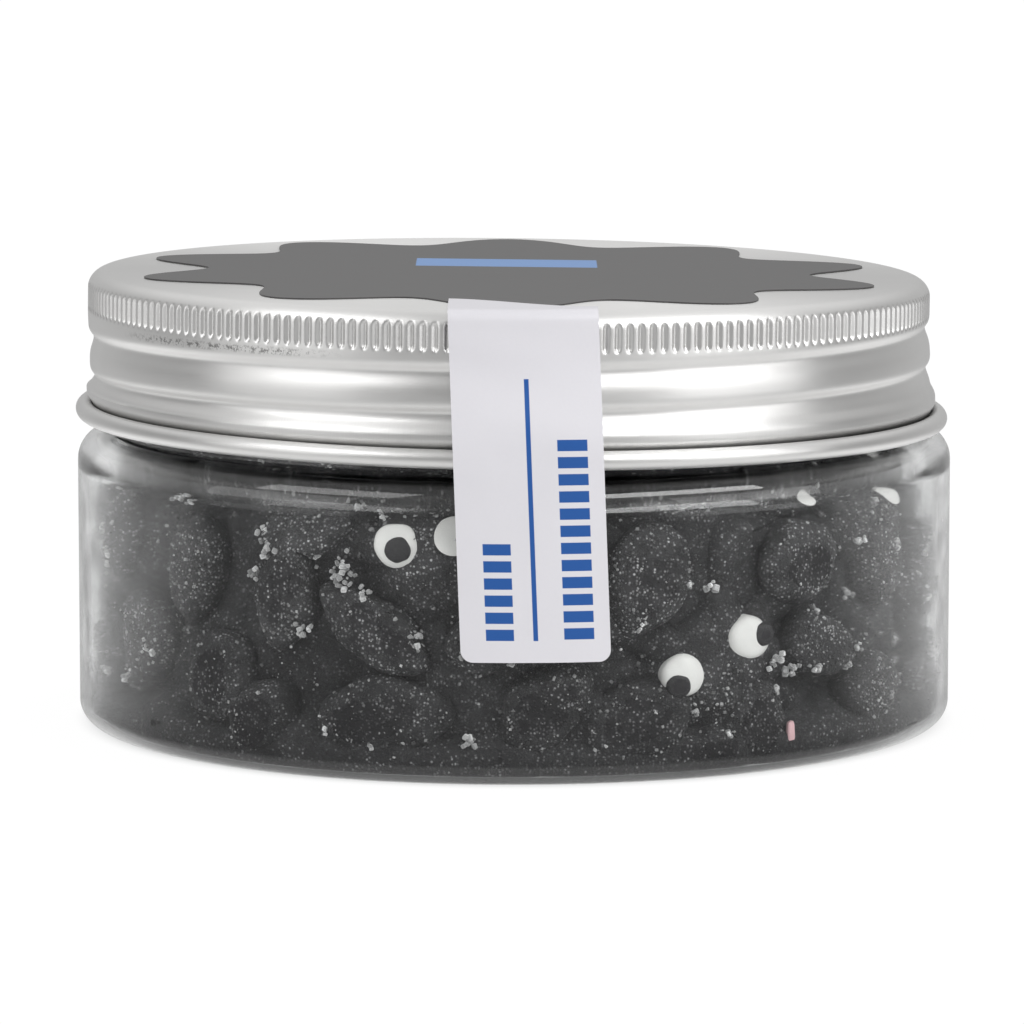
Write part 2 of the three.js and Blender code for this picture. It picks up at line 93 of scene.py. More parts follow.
FLUTES = 230
FLUTE_DEPTH = 0.3
FLUTE_TOP = 46.6
FLUTE_BOTTOM = 43.3
FLUTE_HALF_WIDTH = 0.38
FLUTE_END = 0.75  # length of a flute's rounded end
STEPS_PER_FLUTE = 8
COARSE_STEPS_PER_FLUTE = 2  # away from the flutes
FLUTE_STITCH = STEPS_PER_FLUTE // COARSE_STEPS_PER_FLUTE

THREAD_PITCH = 4.23
THREAD_START_AZIMUTH = 90
THREAD_START_HEIGHT = 42.6
THREAD_TURNS = 1.75
THREAD_FADE = 0.2
THREAD_DEPTH = 0.52
THREAD_UPPER_WIDTH = 0.6
THREAD_LOWER_WIDTH = 1.25

# ---- Labels
PAPER = 0.12
PAPER_BEVEL = 0.03
LABEL_LIFT = 0.03  # glue under a label
ROSETTE_RADIUS = 36
ROSETTE_WAVE = 4
ROSETTE_LOBES = 10
ROSETTE_POINTS = 400
BAND_CENTRE = (-0.8, 9.7)  # of the blue band printed on the lid's label
BAND_SIZE = (19.5, 9)

STRIP_WIDTH = 15
STRIP_BOTTOM = 12.7
STRIP_LEAN = math.tan(math.radians(2.15))
STRIP_SHIFT = 0.9
STRIP_CORNER = 1.2
STRIP_LIFT = 0.2  # over the label that it overlaps
STRIP_BEND = 1.1
STRIP_FREE_TOP = 43
STRIP_FREE_BOTTOM = 34
STRIP_HEADS = (33.2, 41.6)  # distances from the axis of its head's left and right end
STRIP_COLUMNS = 24
STRIP_WAVINESS = 0.07
# What is printed on it, across from its middle and up from the table.
STRIP_RULE = (-0.18, 0.3, 14.9, 41.0)  # (left, right, bottom, top)
STRIP_BLOCK_ROWS = [(-4.9, -2.1, 14.9, 6), (2.9, 5.9, 15.0, 12)]  # (left, right, bottom, blocks)
STRIP_BLOCK = 1.15
STRIP_BLOCK_STEP = 1.72

# ---- Sweets
BODY_RADIUS = 8.6
BODY_HALF_THICKNESS = 4.9
BODY_EDGE = (1.5, 9.5)  # where the thickness falls from the body's to the legs'
WAIST_RADIUS = 8.7  # of the crease round the body, and its depth and half width
WAIST_DEPTH = 0.75
WAIST_HALF_WIDTH = 1.2
LEG_REACH = 16.6
LEG_ROUND = 2.6
LEG_HALF_WIDTH = 3.2
LEG_NARROW = 2.3  # half width where a leg leaves the body
LEG_WIDENING = (6, 13)
LEG_HALF_THICKNESS = 3
LEG_ANGLES = [33, 68, 104, 142, 218, 256, 292, 327]
LEG_UNEVENNESS = {"angle": 3, "reach": 0.7, "width": 0.06, "lift": 1.5}
BACK_SWELL = 0.78
UNDERSIDE_DEPTH = 2.6
BLEND = 5  # how tightly body and legs are blended together
OUTLINE_POINTS = 208
OUTLINE_HALVINGS = 30
TOP_RINGS = 22
UNDERSIDE_RINGS = 5

EYE_RADIUS = 2.25
EYE_AHEAD = 2.4
EYE_APART = 7.8
EYE_ROOT = 2.4
EYE_TOP = 5.4
EYE_SIDES = 40
PUPIL_RADIUS = 1.25
PUPIL_RISE = 0.9
PUPIL_SIDES = 32
SHOWN_SIDE = 85  # the azimuth up to which only the eyes in the next list show
# How far the pupils lie off the middle of the eyes that show, as (sweet, side): (ahead, to the left).
GAZES = {(0, 1): (-0.44, 0.97), (0, -1): (-0.14, -1.26), (1, 1): (-0.29, -0.31), (1, -1): (0, 0)}
# Eyes of sweets further in, as (azimuth, height, size), and the pupil of the second.
STRAY_EYES = [(43.6, 27.8, 0.5), (62.0, 27.2, 0.8), (-7.6, 25.2, 0.85)]
STRAY_PUPIL = (68.0, 27.3)
STRAY_EYE_GAP = -0.02  # so that they show past the legs against the wall
STRAY_EYE_DEPTH = 0.6

SWEETS_TOP = 42.6
SWEETS_GAP = -0.03  # where they are pressed to the wall they reach just into it
BODY_GAP = 0.2  # further gaps to the wall, so that eyes stand proud of bodies and pupils of eyes
EYE_GAP = 0.05
SHOULDER_ROOM = (22.5, 30.8)  # heights between which the room draws in to the neck
WALL_BEND_RADIUS = 42
WALL_REACH = 39.8
PRESS_SOFTNESS = 0.2
CORE_DEPTH = 3.4
CORE_FOOT_DEPTH = -0.2  # of its foot, which fills the corner of the jar
CORE_FOOT = (3, 7.5)
CORE_BOTTOM = 0.7
CORE_TOP = 39
CORE_CHAMFER = 3
CORE_SEGMENTS = 200
HEAP_SEED = 20317

# The sweets lie in the same places as in the model. These are the ones that show in front.
Place = namedtuple("Place", "azimuth height reach spin nod roll face_in flat", defaults=[False])
SHOWN_SWEETS = [
    Place(28.6, 10, 40, 25, 0, 0, False),
    Place(-9.6, 22.6, 39.8, 11, 4, 0, False),
    Place(-8, 9, 40, 158, -4, 4, True),
    Place(23, 24, 39, -8, 4, -4, True),
    Place(-30, 26.5, 39.6, 140, -4, 4, True),
    Place(-44, 9.6, 39.8, 60, 4, 4, True),
    Place(-66, 19.5, 39.6, -30, -4, 4, True),
    Place(59, 12.5, 39.6, -105, 4, -4, True),
    Place(57.0, 26.3, 39.6, -21, 0, 0, False),
]
WALL_RINGS = [(10.5, 98, 262, 4), (21.5, 118, 284, 4)]  # (height, from azimuth, to azimuth, sweets)
WALL_UNEVENNESS = {"azimuth": 4, "height": 1.2, "reach": 0.8, "tilt": 6, "face_in_share": 0.6}
FLAT_LAYERS = [(5, 20, 3), (38.6, 18, 3)]  # (height, distance from the axis, sweets)
FLAT_UNEVENNESS = {"azimuth": 12, "height": 0.4, "reach": 1, "tilt": 8, "face_in_share": 0.5}

# Legs of sweets further in that end flat against the wall, as (azimuth, height, length, width, lean).
SHOWN_LOBES = [
    (-31.3, 18.6, 12.2, 6.4, 6), (-18.4, 15.2, 13.4, 6.2, -53), (-42.5, 9.2, 10, 8.4, 12),
    (-17.5, 6.6, 14.5, 8.4, 84), (-35.5, 5.6, 8, 7.6, 40), (41.0, 21.2, 9.6, 8.4, 40),
    (44.5, 12.2, 9.2, 6.8, -72), (16.4, 6.2, 11.5, 8.6, 70), (33.0, 5.6, 9.2, 7.2, 15),
    (58.0, 20.5, 10.5, 6.6, 4), (17.5, 20.5, 12, 9, 25), (-47.5, 20.0, 11, 7, 12), (-58.5, 12.0, 10, 8, -10),
    (-28.5, 25.2, 9, 6.5, 70), (56.0, 6.8, 9.5, 7.4, 80), (-66.0, 22.0, 10, 7.5, 0), (72.0, 17.5, 11, 7, 8),
    (73.0, 7.5, 9.5, 7.5, 60), (-74.0, 8.0, 10, 8, 70), (4.0, 8.0, 11, 7.4, 40), (2.5, 21.0, 11, 7.5, -30),
    (-3.0, 14.5, 9, 7, 80),
]
LOBE_HALF_THICKNESS = 3.1
LOBE_SUNK = 2.3  # of a lobe's middle behind the wall
LOBE_ROWS = 22
LOBE_COLUMNS = 44
RING_LOBES = 26  # round the rest of the wall
PRESSED_SIDE = 43  # the azimuth up to which lobes lie on the wall
SIDE_GAP = 0.3  # from the wall to the lobes further round

# ---- Sugar
GRAINS = 15500
GRAIN_SIZE = (0.09, 0.34)
CLUSTER_GRAIN_SIZE = (0.24, 0.6)
CLUSTER_CRYSTALS = 2  # for each one that is counted below
WALL_GRAINS = 2600
WALL_GRAIN_SIZE = (0.08, 0.24)
CRYSTAL_CHAMFER = 0.16
CRYSTAL_STRETCH = (0.65, 1.25)
LOOSE_CLUSTERS = 190
# Clusters of larger crystals against the wall, as (azimuth, height, crystals).
SHOWN_CLUSTERS = [
    (-33.2, 23.0, 9), (-22.2, 21.2, 14), (-12.9, 14.3, 12), (-35.6, 20.4, 6), (-52.1, 27.1, 7),
    (-28.1, 15.2, 5), (-24.1, 5.0, 7), (-21.0, 4.6, 6), (26.2, 19.5, 3), (23.7, 6.9, 4), (32.9, 6.2, 4),
    (17.7, 18.0, 5), (38.7, 10.2, 6), (12.5, 4.0, 5), (-5.6, 4.6, 6), (-19.5, 19.0, 7), (36.0, 11.5, 5),
    (-49.0, 26.6, 4),
]
CHIP_AZIMUTH = 38.2
CHIP_HEIGHT = 3.9
CHIP_SIZE = (0.9, 0.7, 2.0)

# ---- Studio, with the camera as fitted to the photo's outline
CAMERA_DISTANCE = 0.6436
CAMERA_HEIGHT = 0.10597
CAMERA_DOWN = 7.41
CAMERA_LENS = 213.17
CAMERA_SENSOR = 36
CAMERA_SHIFT = (-0.00195, -0.0045)
FLOOR_HALF_WIDTH = 9000
FLOOR_GLOW = 1.02
# Softboxes as (name, place, width, height, brightness), in metres.
SOFTBOXES = [
    ("key", (0.5, -0.46, 0.62), 0.75, 0.24, 6.5),
    ("fill", (-0.56, -0.4, 0.6), 0.6, 0.3, 2.8),
    ("left", (-0.8, -0.4, 0.22), 0.7, 0.4, 1.0),
    ("right", (0.8, -0.4, 0.22), 0.7, 0.4, 1.5),
]
SOFTBOX_TARGET = (0, 0, 0.025)


# ---- Points and faces


def smoothstep(low, high, value):
    share = np.clip((value - low) / (high - low), 0, 1)
    return share * share * (3 - 2 * share)


def lerp(start, end, share):
    return start + (end - start) * share


def around(azimuth, radius, height):
    """Points at an azimuth in degrees, a distance from the axis and a height."""
    angle = np.radians(azimuth)
    return np.stack(np.broadcast_arrays(radius * np.sin(angle), -radius * np.cos(angle), height), axis=-1)


def arc(radius, height, rounding, start, end, steps):
    angles = np.radians(np.linspace(start, end, steps + 1))
    return [(radius + rounding * math.cos(a), height + rounding * math.sin(a)) for a in angles]


def rotation(angle, first, second):
    """A turn by degrees from one axis to another."""
    matrix = np.eye(3)
    matrix[first, first] = matrix[second, second] = math.cos(math.radians(angle))
    matrix[second, first] = math.sin(math.radians(angle))
    matrix[first, second] = -matrix[second, first]
    return matrix


def lumps(points, size, seed):
    """Smooth unevenness from -1 to 1, with bumps of about a size."""
    draw = np.random.default_rng(seed)
    total = np.zeros(len(points))
    waves = 9
    for _ in range(waves):
        direction = draw.normal(size=3)
        direction /= np.linalg.norm(direction)
        length = size * draw.uniform(0.7, 1.4)
        total += np.sin(points @ direction * 2 * math.pi / length + draw.uniform(0, 2 * math.pi))
    return total / math.sqrt(waves)


def warp(points, size, seed):
    """The same unevenness along all three axes."""
    return np.stack([lumps(points, size, seed + axis) for axis in range(3)], axis=-1)


def tilted(points):
    """Moves points of the lid as it was screwed on, a little askew and with its skirt leaning over."""
    angle = math.radians(LID_TILT)
    below = np.clip((SKIRT_TOP - points[:, 2]) / (SKIRT_TOP - CURL_CENTRE_HEIGHT), 0, 1)
    x = points[:, 0] + CURL_SHIFT * below
    z = points[:, 2] - CURL_CENTRE_HEIGHT
    turned_x = x * math.cos(angle) + z * math.sin(angle) + LID_SHIFT
    turned_z = z * math.cos(angle) - x * math.sin(angle) + CURL_CENTRE_HEIGHT
    return np.stack([turned_x, points[:, 1], turned_z], axis=-1)


def reverse(faces):
    return [group[:, ::-1] for group in faces]


def stitch_faces(coarse, fine):
    """Triangles between a ring and one above it with FLUTE_STITCH times its points."""
    half = FLUTE_STITCH // 2
    after = np.roll(coarse, -1)
    triangles = []
    for step in range(FLUTE_STITCH):
        near = np.roll(fine, -step)[::FLUTE_STITCH]
        far = np.roll(fine, -step - 1)[::FLUTE_STITCH]
        triangles.append(np.stack([coarse if step < half else after, far, near], axis=-1))
    middle = np.roll(fine, -half)[::FLUTE_STITCH]
    triangles.append(np.stack([coarse, after, middle], axis=-1))
    return np.concatenate(triangles)


def band_faces(lower, upper):
    """Faces between two rings. Seen from outside, upper lies above lower."""
    if len(lower) == len(upper):
        return np.stack([lower, np.roll(lower, -1), np.roll(upper, -1), upper], axis=-1)
    if len(lower) < len(upper):
        return stitch_faces(lower, upper)
    return stitch_faces(upper, lower)[:, ::-1]


def fan_faces(ring, centre):
    return np.stack([ring, np.roll(ring, -1), np.full(len(ring), centre)], axis=-1)


def closed(rings, bottom, top):
    """A closed surface from a point at its bottom, through rings of points, to one at its top."""
    starts = np.cumsum([0, *(len(ring) for ring in rings)])
    indices = [np.arange(start, end) for start, end in zip(starts, starts[1:])]
    faces = [band_faces(lower, upper) for lower, upper in zip(indices, indices[1:])]
    faces.append(fan_faces(indices[0], starts[-1])[:, ::-1])
    faces.append(fan_faces(indices[-1], starts[-1] + 1))
    return np.concatenate([*rings, [bottom, top]]), faces


def turned(profile, segments):
    """A lathe. The profile starts and ends on the axis and has the material on its left."""
    azimuths = np.arange(segments) * 360 / segments
    rings = [around(azimuths, radius, height) for radius, height in profile[1:-1]]
    return closed(rings, (0, 0, profile[0][1]), (0, 0, profile[-1][1]))


def joined(parts):
    """Joins (points, faces) parts into one."""
    points, faces, start = [], [], 0
    for part_points, part_faces in parts:
        points.append(part_points)
        faces.extend(group + start for group in part_faces)
        start += len(part_points)
    return np.concatenate(points), faces


# ---- Pieces


def add_object(name, data):
    added = bpy.data.objects.new(name, data)
    bpy.context.scene.collection.objects.link(added)
    return added


def make_piece(name, shape, material, smooth=True, sharp_angle=None):
    """One mesh object from points in millimetres and arrays of faces with three or four corners."""
    points, faces = shape
    mesh = bpy.data.meshes.new(name)
    corners = np.concatenate([group.ravel() for group in faces])
    sizes = np.concatenate([np.full(len(group), group.shape[1]) for group in faces])
    starts = np.concatenate([[0], np.cumsum(sizes)[:-1]])
    mesh.vertices.add(len(points))
    mesh.vertices.foreach_set("co", (points * MM).astype(np.float32).ravel())
    mesh.loops.add(len(corners))
    mesh.loops.foreach_set("vertex_index", corners.astype(np.int32))
    mesh.polygons.add(len(sizes))
    mesh.polygons.foreach_set("loop_start", starts.astype(np.int32))
    mesh.update(calc_edges=True)
    mesh.validate()
    mesh.polygons.foreach_set("use_smooth", np.full(len(mesh.polygons), smooth))
    if sharp_angle is not None:
        mesh.set_sharp_from_angle(angle=math.radians(sharp_angle))
    mesh.materials.append(material)
    return add_object(name, mesh)


def dress(name, shape, material, node="sweets", slot="sugared_jelly", **looks):
    """Makes a piece that stands for a node of the model."""
    piece = make_piece(name, shape, material, **looks)
    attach(piece, "root")
    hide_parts(node)


# ---- Materials


class Nodes:
    """The nodes of a new material or world, with lengths in millimetres."""

    def __init__(self, owner):
        owner.use_nodes = True
        owner.node_tree.nodes.clear()
        self.owner = owner
        self.tree = owner.node_tree

    def add(self, kind, inputs=(), **settings):
        """Adds a node and gives its outputs. Inputs go by place or name, as sockets or as plain values."""
        node = self.tree.nodes.new(kind)
        for key, setting in settings.items():
            setattr(node, key, setting)
        keyed = inputs.items() if isinstance(inputs, dict) else enumerate(inputs)
        for key, value in keyed:
            if isinstance(value, bpy.types.NodeSocket):
                self.tree.links.new(value, node.inputs[key])
            else:
                node.inputs[key].default_value = value
        return node.outputs

    def math(self, operation, *values, clamp=False):
        return self.add("ShaderNodeMath", values, operation=operation, use_clamp=clamp)[0]

    def times(self, first, *others):
        for other in others:
            first = self.math("MULTIPLY", first, other)
        return first

    def plus(self, first, second):
        return self.math("ADD", first, second)

    def scaled(self, value, factor, offset):
        return self.math("MULTIPLY_ADD", value, factor, offset)

    def most(self, first, second):
        return self.math("MAXIMUM", first, second)

    def mapped(self, value, low, high, start=0.0, end=1.0, kind="LINEAR"):
        """Goes from start to end as a value goes from low to high."""
        return self.add("ShaderNodeMapRange", (value, low, high, start, end), interpolation_type=kind)[0]

    def window(self, value, low, high, edge):
        """1 between two bounds and 0 outside, with soft edges."""
        rising = self.mapped(value, low - edge, low + edge)
        return self.times(rising, self.mapped(value, high + edge, high - edge))

    def rectangle(self, across, up, left, right, bottom, top, edge):
        return self.times(self.window(across, left, right, edge), self.window(up, bottom, top, edge))

    def ramp(self, value, stops):
        """Greys along a value, as (place, brightness) stops."""
        output = self.add("ShaderNodeValToRGB", {"Fac": value})["Color"]
        elements = output.node.color_ramp.elements
        while len(elements) < len(stops):
            elements.new(0.5)
        for element, (place, brightness) in zip(elements, stops):
            element.position = place
            element.color = (brightness, brightness, brightness, 1)
        return output

    def place(self):
        """Where points are in the model's own frame."""
        metres = self.add("ShaderNodeTexCoord")["Object"]
        return self.add("ShaderNodeVectorMath", {0: metres, "Scale": 1 / MM}, operation="SCALE")[0]

    def parts(self, vector):
        return self.add("ShaderNodeSeparateXYZ", [vector])

    def off_axis(self, x, y):
        """The distance from the jar's axis."""
        return self.math("SQRT", self.plus(self.times(x, x), self.times(y, y)))

    def noise(self, vector, size, detail=2.0, roughness=0.5):
        """Noise with features of about a size."""
        values = {"Vector": vector, "Scale": 1 / size, "Detail": detail, "Roughness": roughness}
        return self.add("ShaderNodeTexNoise", values)["Fac"]

    def bump(self, height, strength, depth):
        values = {"Height": height, "Strength": strength, "Distance": depth * MM}
        return self.add("ShaderNodeBump", values)["Normal"]

    def mixed_colour(self, share, first, second):
        return self.add("ShaderNodeMix", {0: share, 6: first, 7: second}, data_type="RGBA")[2]

    def toned(self, colour, brightness):
        return self.add("ShaderNodeHueSaturation", {"Color": colour, "Value": brightness})[0]

    def grey(self, brightness):
        return self.add("ShaderNodeCombineColor", [brightness] * 3)[0]

    def principled(self, values):
        return self.add("ShaderNodeBsdfPrincipled", values)[0]

    def mixed_shader(self, share, first, second):
        return self.add("ShaderNodeMixShader", (share, first, second))[0]

    def finish(self, shader):
        self.add("ShaderNodeOutputMaterial", {"Surface": shader})
        return self.owner


def new_look(name):
    return Nodes(bpy.data.materials.new(name))


def clear_plastic():
    """Clear plastic, hazy on the inside. Light for shadows and bounced light passes straight through it."""
    nodes = new_look("clear_plastic")
    place = nodes.place()
    x, y, _ = nodes.parts(place)
    inside = nodes.math("LESS_THAN", nodes.off_axis(x, y), JAR_RADIUS - JAR_WALL / 2)
    haze = nodes.scaled(nodes.noise(place, 4), 0.3, -0.05)
    plastic = nodes.principled({
        "Base Color": (0.965, 0.972, 0.972, 1),
        "Roughness": nodes.scaled(inside, haze, 0.015),
        "IOR": 1.57,
        "Transmission Weight": 1.0,
        "Normal": nodes.bump(nodes.noise(place, 14, 1.0), 0.25, 0.25),
    })
    clear = nodes.add("ShaderNodeBsdfTransparent", {"Color": (0.95, 0.955, 0.955, 1)})[0]
    path = nodes.add("ShaderNodeLightPath")
    passes = nodes.most(path["Is Shadow Ray"], path["Is Diffuse Ray"])
    return nodes.finish(nodes.mixed_shader(passes, plastic, clear))


def aluminium():
    """Satin sheet, brushed round its axis, with upright scratches, a scuff and painted shade in its crevice.
    """
    nodes = new_look("aluminium")
    place = nodes.place()
    x, y, z = nodes.parts(place)
    radius = nodes.off_axis(x, y)
    azimuth = nodes.math("ARCTAN2", x, nodes.times(y, -1.0))
    run_round = nodes.add("ShaderNodeCombineXYZ", (nodes.times(azimuth, 3.0), radius, z))[0]
    run_up = nodes.add("ShaderNodeCombineXYZ", (nodes.times(azimuth, LID_RADIUS), nodes.times(z, 0.02)))[0]
    turning = nodes.noise(run_round, 0.12, 3.0, 0.6)
    low_band = nodes.window(z, CURL_CENTRE_HEIGHT + 0.5, SKIRT_FLARE_TOP - 0.2, 0.8)
    upright_wear = nodes.times(low_band, nodes.noise(run_up, 0.14, 3.0, 0.7))

    scuff_place = nodes.window(azimuth, math.radians(-58), math.radians(-27), math.radians(5))
    scuff_height = nodes.window(z, SKIRT_TOP - 0.35, FLUTE_BOTTOM + 0.05, 0.2)
    scuff_noise = nodes.ramp(nodes.noise(place, 0.45, 4.0, 0.8), [(0.5, 0), (0.56, 1)])
    scuff = nodes.times(scuff_place, scuff_height, scuff_noise)

    # Painted shade: the narrow crevice between the skirt and the curl is coloured dark.
    level = nodes.scaled(x, math.sin(math.radians(LID_TILT)), z)
    low = nodes.window(level, CREVICE_BOTTOM - 0.3, CREVICE_BOTTOM + 0.35, 0.25)
    crevice = nodes.times(low, nodes.mapped(radius, LID_RADIUS + 0.45, LID_RADIUS + 0.15))

    shade = nodes.scaled(nodes.noise(place, 5, 3.0), 0.05, -0.025)
    worn = nodes.scaled(upright_wear, -0.12, shade)
    # The dark colour serves both the scuff and the painted shade in the crevice.
    scuff_and_painted_shade = nodes.most(nodes.times(scuff, 0.7), crevice)
    bright = nodes.mixed_colour(scuff_and_painted_shade, (0.83, 0.825, 0.815, 1), (0.1, 0.097, 0.093, 1))
    relief = nodes.plus(turning, nodes.times(upright_wear, 1.2))
    return nodes.finish(nodes.principled({
        "Base Color": nodes.toned(bright, nodes.plus(worn, 1.0)),
        "Metallic": 1.0,
        "Roughness": nodes.scaled(turning, 0.12, 0.33),
        "Anisotropic": 0.7,
        "Anisotropic Rotation": 0.25,
        "Normal": nodes.bump(relief, 0.25, 0.02),
        "Tangent": nodes.add("ShaderNodeTangent", direction_type="RADIAL", axis="Z")[0],
    }))


def paper(nodes, place, colour, roughness):
    """Coated paper with faint fibres."""
    fibres = nodes.noise(place, 0.35, 4.0, 0.65)
    shade = nodes.plus(nodes.times(fibres, 0.04), nodes.scaled(nodes.noise(place, 6), 0.05, 0.955))
    return nodes.finish(nodes.principled({
        "Base Color": nodes.toned(colour, shade),
        "Roughness": roughness,
        "Normal": nodes.bump(fibres, 0.5, 0.01),
    }))


def grey_label():
    """Satin grey paper, with a plain blue band."""
    nodes = new_look("grey_label")
    place = nodes.place()
    x, y, _ = nodes.parts(place)
    (band_x, band_y), (width, depth) = BAND_CENTRE, BAND_SIZE
    bounds = (band_x - width / 2, band_x + width / 2, band_y - depth / 2, band_y + depth / 2)
    band = nodes.rectangle(x, y, *bounds, 0.05)
    return paper(nodes, place, nodes.mixed_colour(band, (0.06, 0.058, 0.058, 1), (0.13, 0.27, 0.56, 1)), 0.42)


def white_paper():
    """Smooth white paper, with a plain blue rule and two rows of plain blue blocks."""
    nodes = new_look("white_paper")
    place = nodes.place()
    x, _, z = nodes.parts(place)
    across = nodes.plus(x, nodes.scaled(z, STRIP_LEAN, -(LID_TOP * STRIP_LEAN + STRIP_SHIFT)))
    edge = 0.03
    printed = nodes.rectangle(across, z, *STRIP_RULE, edge)
    for left, right, bottom, count in STRIP_BLOCK_ROWS:
        top = bottom + (count - 1) * STRIP_BLOCK_STEP + STRIP_BLOCK
        row = nodes.rectangle(across, z, left, right, bottom, top, edge)
        into_step = nodes.math("MODULO", nodes.math("SUBTRACT", z, bottom), STRIP_BLOCK_STEP)
        printed = nodes.most(printed, nodes.times(row, nodes.window(into_step, 0.0, STRIP_BLOCK, edge)))
    colour = nodes.mixed_colour(printed, (0.68, 0.67, 0.705, 1), (0.008, 0.085, 0.33, 1))
    return paper(nodes, place, colour, 0.45)


def sugared_jelly():
    """Dark jelly under a coat of fine sugar, with painted shade darkening it away from the wall."""
    nodes = new_look("sugared_jelly")
    place = nodes.place()
    x, y, z = nodes.parts(place)
    coarse = nodes.noise(place, 2.6, 3.0, 0.6)
    fine = nodes.noise(place, 0.45, 4.0, 0.75)
    cells = nodes.add("ShaderNodeTexVoronoi", {"Vector": place, "Scale": 1 / 0.34, "Randomness": 1.0})
    grain = nodes.ramp(cells["Distance"], [(0.15, 1), (0.5, 0)])
    red = nodes.add("ShaderNodeSeparateColor", [cells["Color"]])[0]
    sparkle = nodes.ramp(red, [(0.3, 0.04), (0.8, 0.5), (0.95, 1)])
    spread = nodes.plus(nodes.times(coarse, 0.6), nodes.times(fine, 0.4))
    dusting = nodes.ramp(spread, [(0.42, 0.08), (0.6, 1)])
    coat = nodes.times(grain, sparkle, dusting)
    # The coat is darker towards the bottom.
    low = nodes.mapped(z, 4, 15, 0.45, 1.0)
    # More sugar shows just behind the wall; further in, painted shade darkens the coat.
    depth = nodes.mapped(nodes.off_axis(x, y), INNER_RADIUS, INNER_RADIUS - 4)
    rim_sugar_and_painted_shade = nodes.ramp(depth, [(0, 0.7), (0.03, 0.8), (0.1, 1), (0.3, 0.8), (0.6, 0.45), (0.95, 0.25)])
    dusted = nodes.scaled(coat, 1.6, nodes.times(dusting, 0.06))
    frost_and_painted_shade = nodes.math("MULTIPLY", nodes.scaled(dusted, rim_sugar_and_painted_shade, 0.028), low, clamp=True)
    relief = nodes.plus(nodes.times(grain, 0.6), nodes.times(fine, 0.7))
    return nodes.finish(nodes.principled({
        "Base Color": nodes.mixed_colour(frost_and_painted_shade, (0.014, 0.0135, 0.0145, 1), (0.66, 0.66, 0.67, 1)),
        "Roughness": nodes.scaled(fine, 0.3, 0.45),
        "Specular IOR Level": 0.12,
        "Normal": nodes.bump(relief, 0.9, 0.18),
    }))


def sugar_crystal(name, low, high, clear):
    """Sugar crystals, each as white as it happens to be. A clear one shows what is behind its middle."""
    nodes = new_look(name)
    island = nodes.add("ShaderNodeNewGeometry")["Random Per Island"]
    shader = nodes.principled({
        "Base Color": nodes.grey(nodes.scaled(nodes.math("POWER", island, 2.0), high - low, low)),
        "Roughness": 0.3,
        "IOR": 1.54,
        "Normal": nodes.bump(nodes.noise(nodes.place(), 0.12), 0.4, 0.03),
    })
    if clear:
        facing = nodes.add("ShaderNodeLayerWeight", {"Blend": 0.35})["Facing"]
        see_through = nodes.times(nodes.ramp(facing, [(0.05, 1), (0.3, 0)]), clear)
        shader = nodes.mixed_shader(see_through, shader, nodes.add("ShaderNodeBsdfTransparent")[0])
    return nodes.finish(shader)


def candy(name, colour, roughness, speckle):
    """Set icing, faintly uneven."""
    nodes = new_look(name)
    place = nodes.place()
    fine = nodes.noise(place, 0.3, 3.0, 0.6)
    broad = nodes.noise(place, 1.4)
    shade = nodes.plus(nodes.scaled(fine, speckle, 1 - speckle / 2), nodes.scaled(broad, 0.1, -0.05))
    return nodes.finish(nodes.principled({
        "Base Color": nodes.toned(colour, shade),
        "Roughness": roughness,
        "Specular IOR Level": 0.25,
        "Normal": nodes.bump(fine, 0.4, 0.05),
    }))


# ---- Jar


def make_jar():
    shoulder_top = SHOULDER_START + SHOULDER_ROUNDING
    inner_top = shoulder_top - JAR_WALL
    lip = NECK_TOP - LIP_ROUNDING
    recess = FOOT_RING_INNER_RADIUS - BASE_SLOPE
    inner_foot = (INNER_RADIUS - FOOT_INNER_ROUNDING, JAR_FLOOR + FOOT_INNER_ROUNDING, FOOT_INNER_ROUNDING)
    profile = [
        (0, BASE_PUSH_UP),
        (recess - 1, BASE_PUSH_UP),
        (recess, BASE_PUSH_UP - 0.1),
        (FOOT_RING_INNER_RADIUS - 0.4, 0.08),
        (FOOT_RING_INNER_RADIUS, 0),
        *arc(JAR_RADIUS - FOOT_ROUNDING, FOOT_ROUNDING, FOOT_ROUNDING, -90, 0, 14),
        *arc(JAR_RADIUS - SHOULDER_ROUNDING, SHOULDER_START, SHOULDER_ROUNDING, 0, 90, 14),
        *arc(NECK_RADIUS + NECK_ROUNDING, shoulder_top + NECK_ROUNDING, NECK_ROUNDING, 270, 180, 5),
        *arc(NECK_RADIUS - LIP_ROUNDING, lip, LIP_ROUNDING, 0, 90, 3),
        *arc(NECK_INNER_RADIUS + LIP_ROUNDING, lip, LIP_ROUNDING, 90, 180, 3),
        (NECK_INNER_RADIUS, inner_top + 0.4),
        (NECK_INNER_RADIUS + 0.12, inner_top + 0.12),
        (NECK_INNER_RADIUS + 0.4, inner_top),
        *arc(INNER_RADIUS - SHOULDER_ROUNDING, SHOULDER_START - JAR_WALL, SHOULDER_ROUNDING, 90, 0, 12),
        *arc(*inner_foot, 0, -90, 10),
        (FOOT_RING_INNER_RADIUS, JAR_FLOOR + 0.03),
        (recess, BASE_PUSH_UP + JAR_FLOOR - 0.1),
        (recess - 1, BASE_PUSH_UP + JAR_FLOOR),
        (0, BASE_PUSH_UP + JAR_FLOOR),
    ]
    dress("jar_wall", turned(profile, JAR_SEGMENTS), clear_plastic(), "jar", "clear_plastic", sharp_angle=35)


# ---- Lid


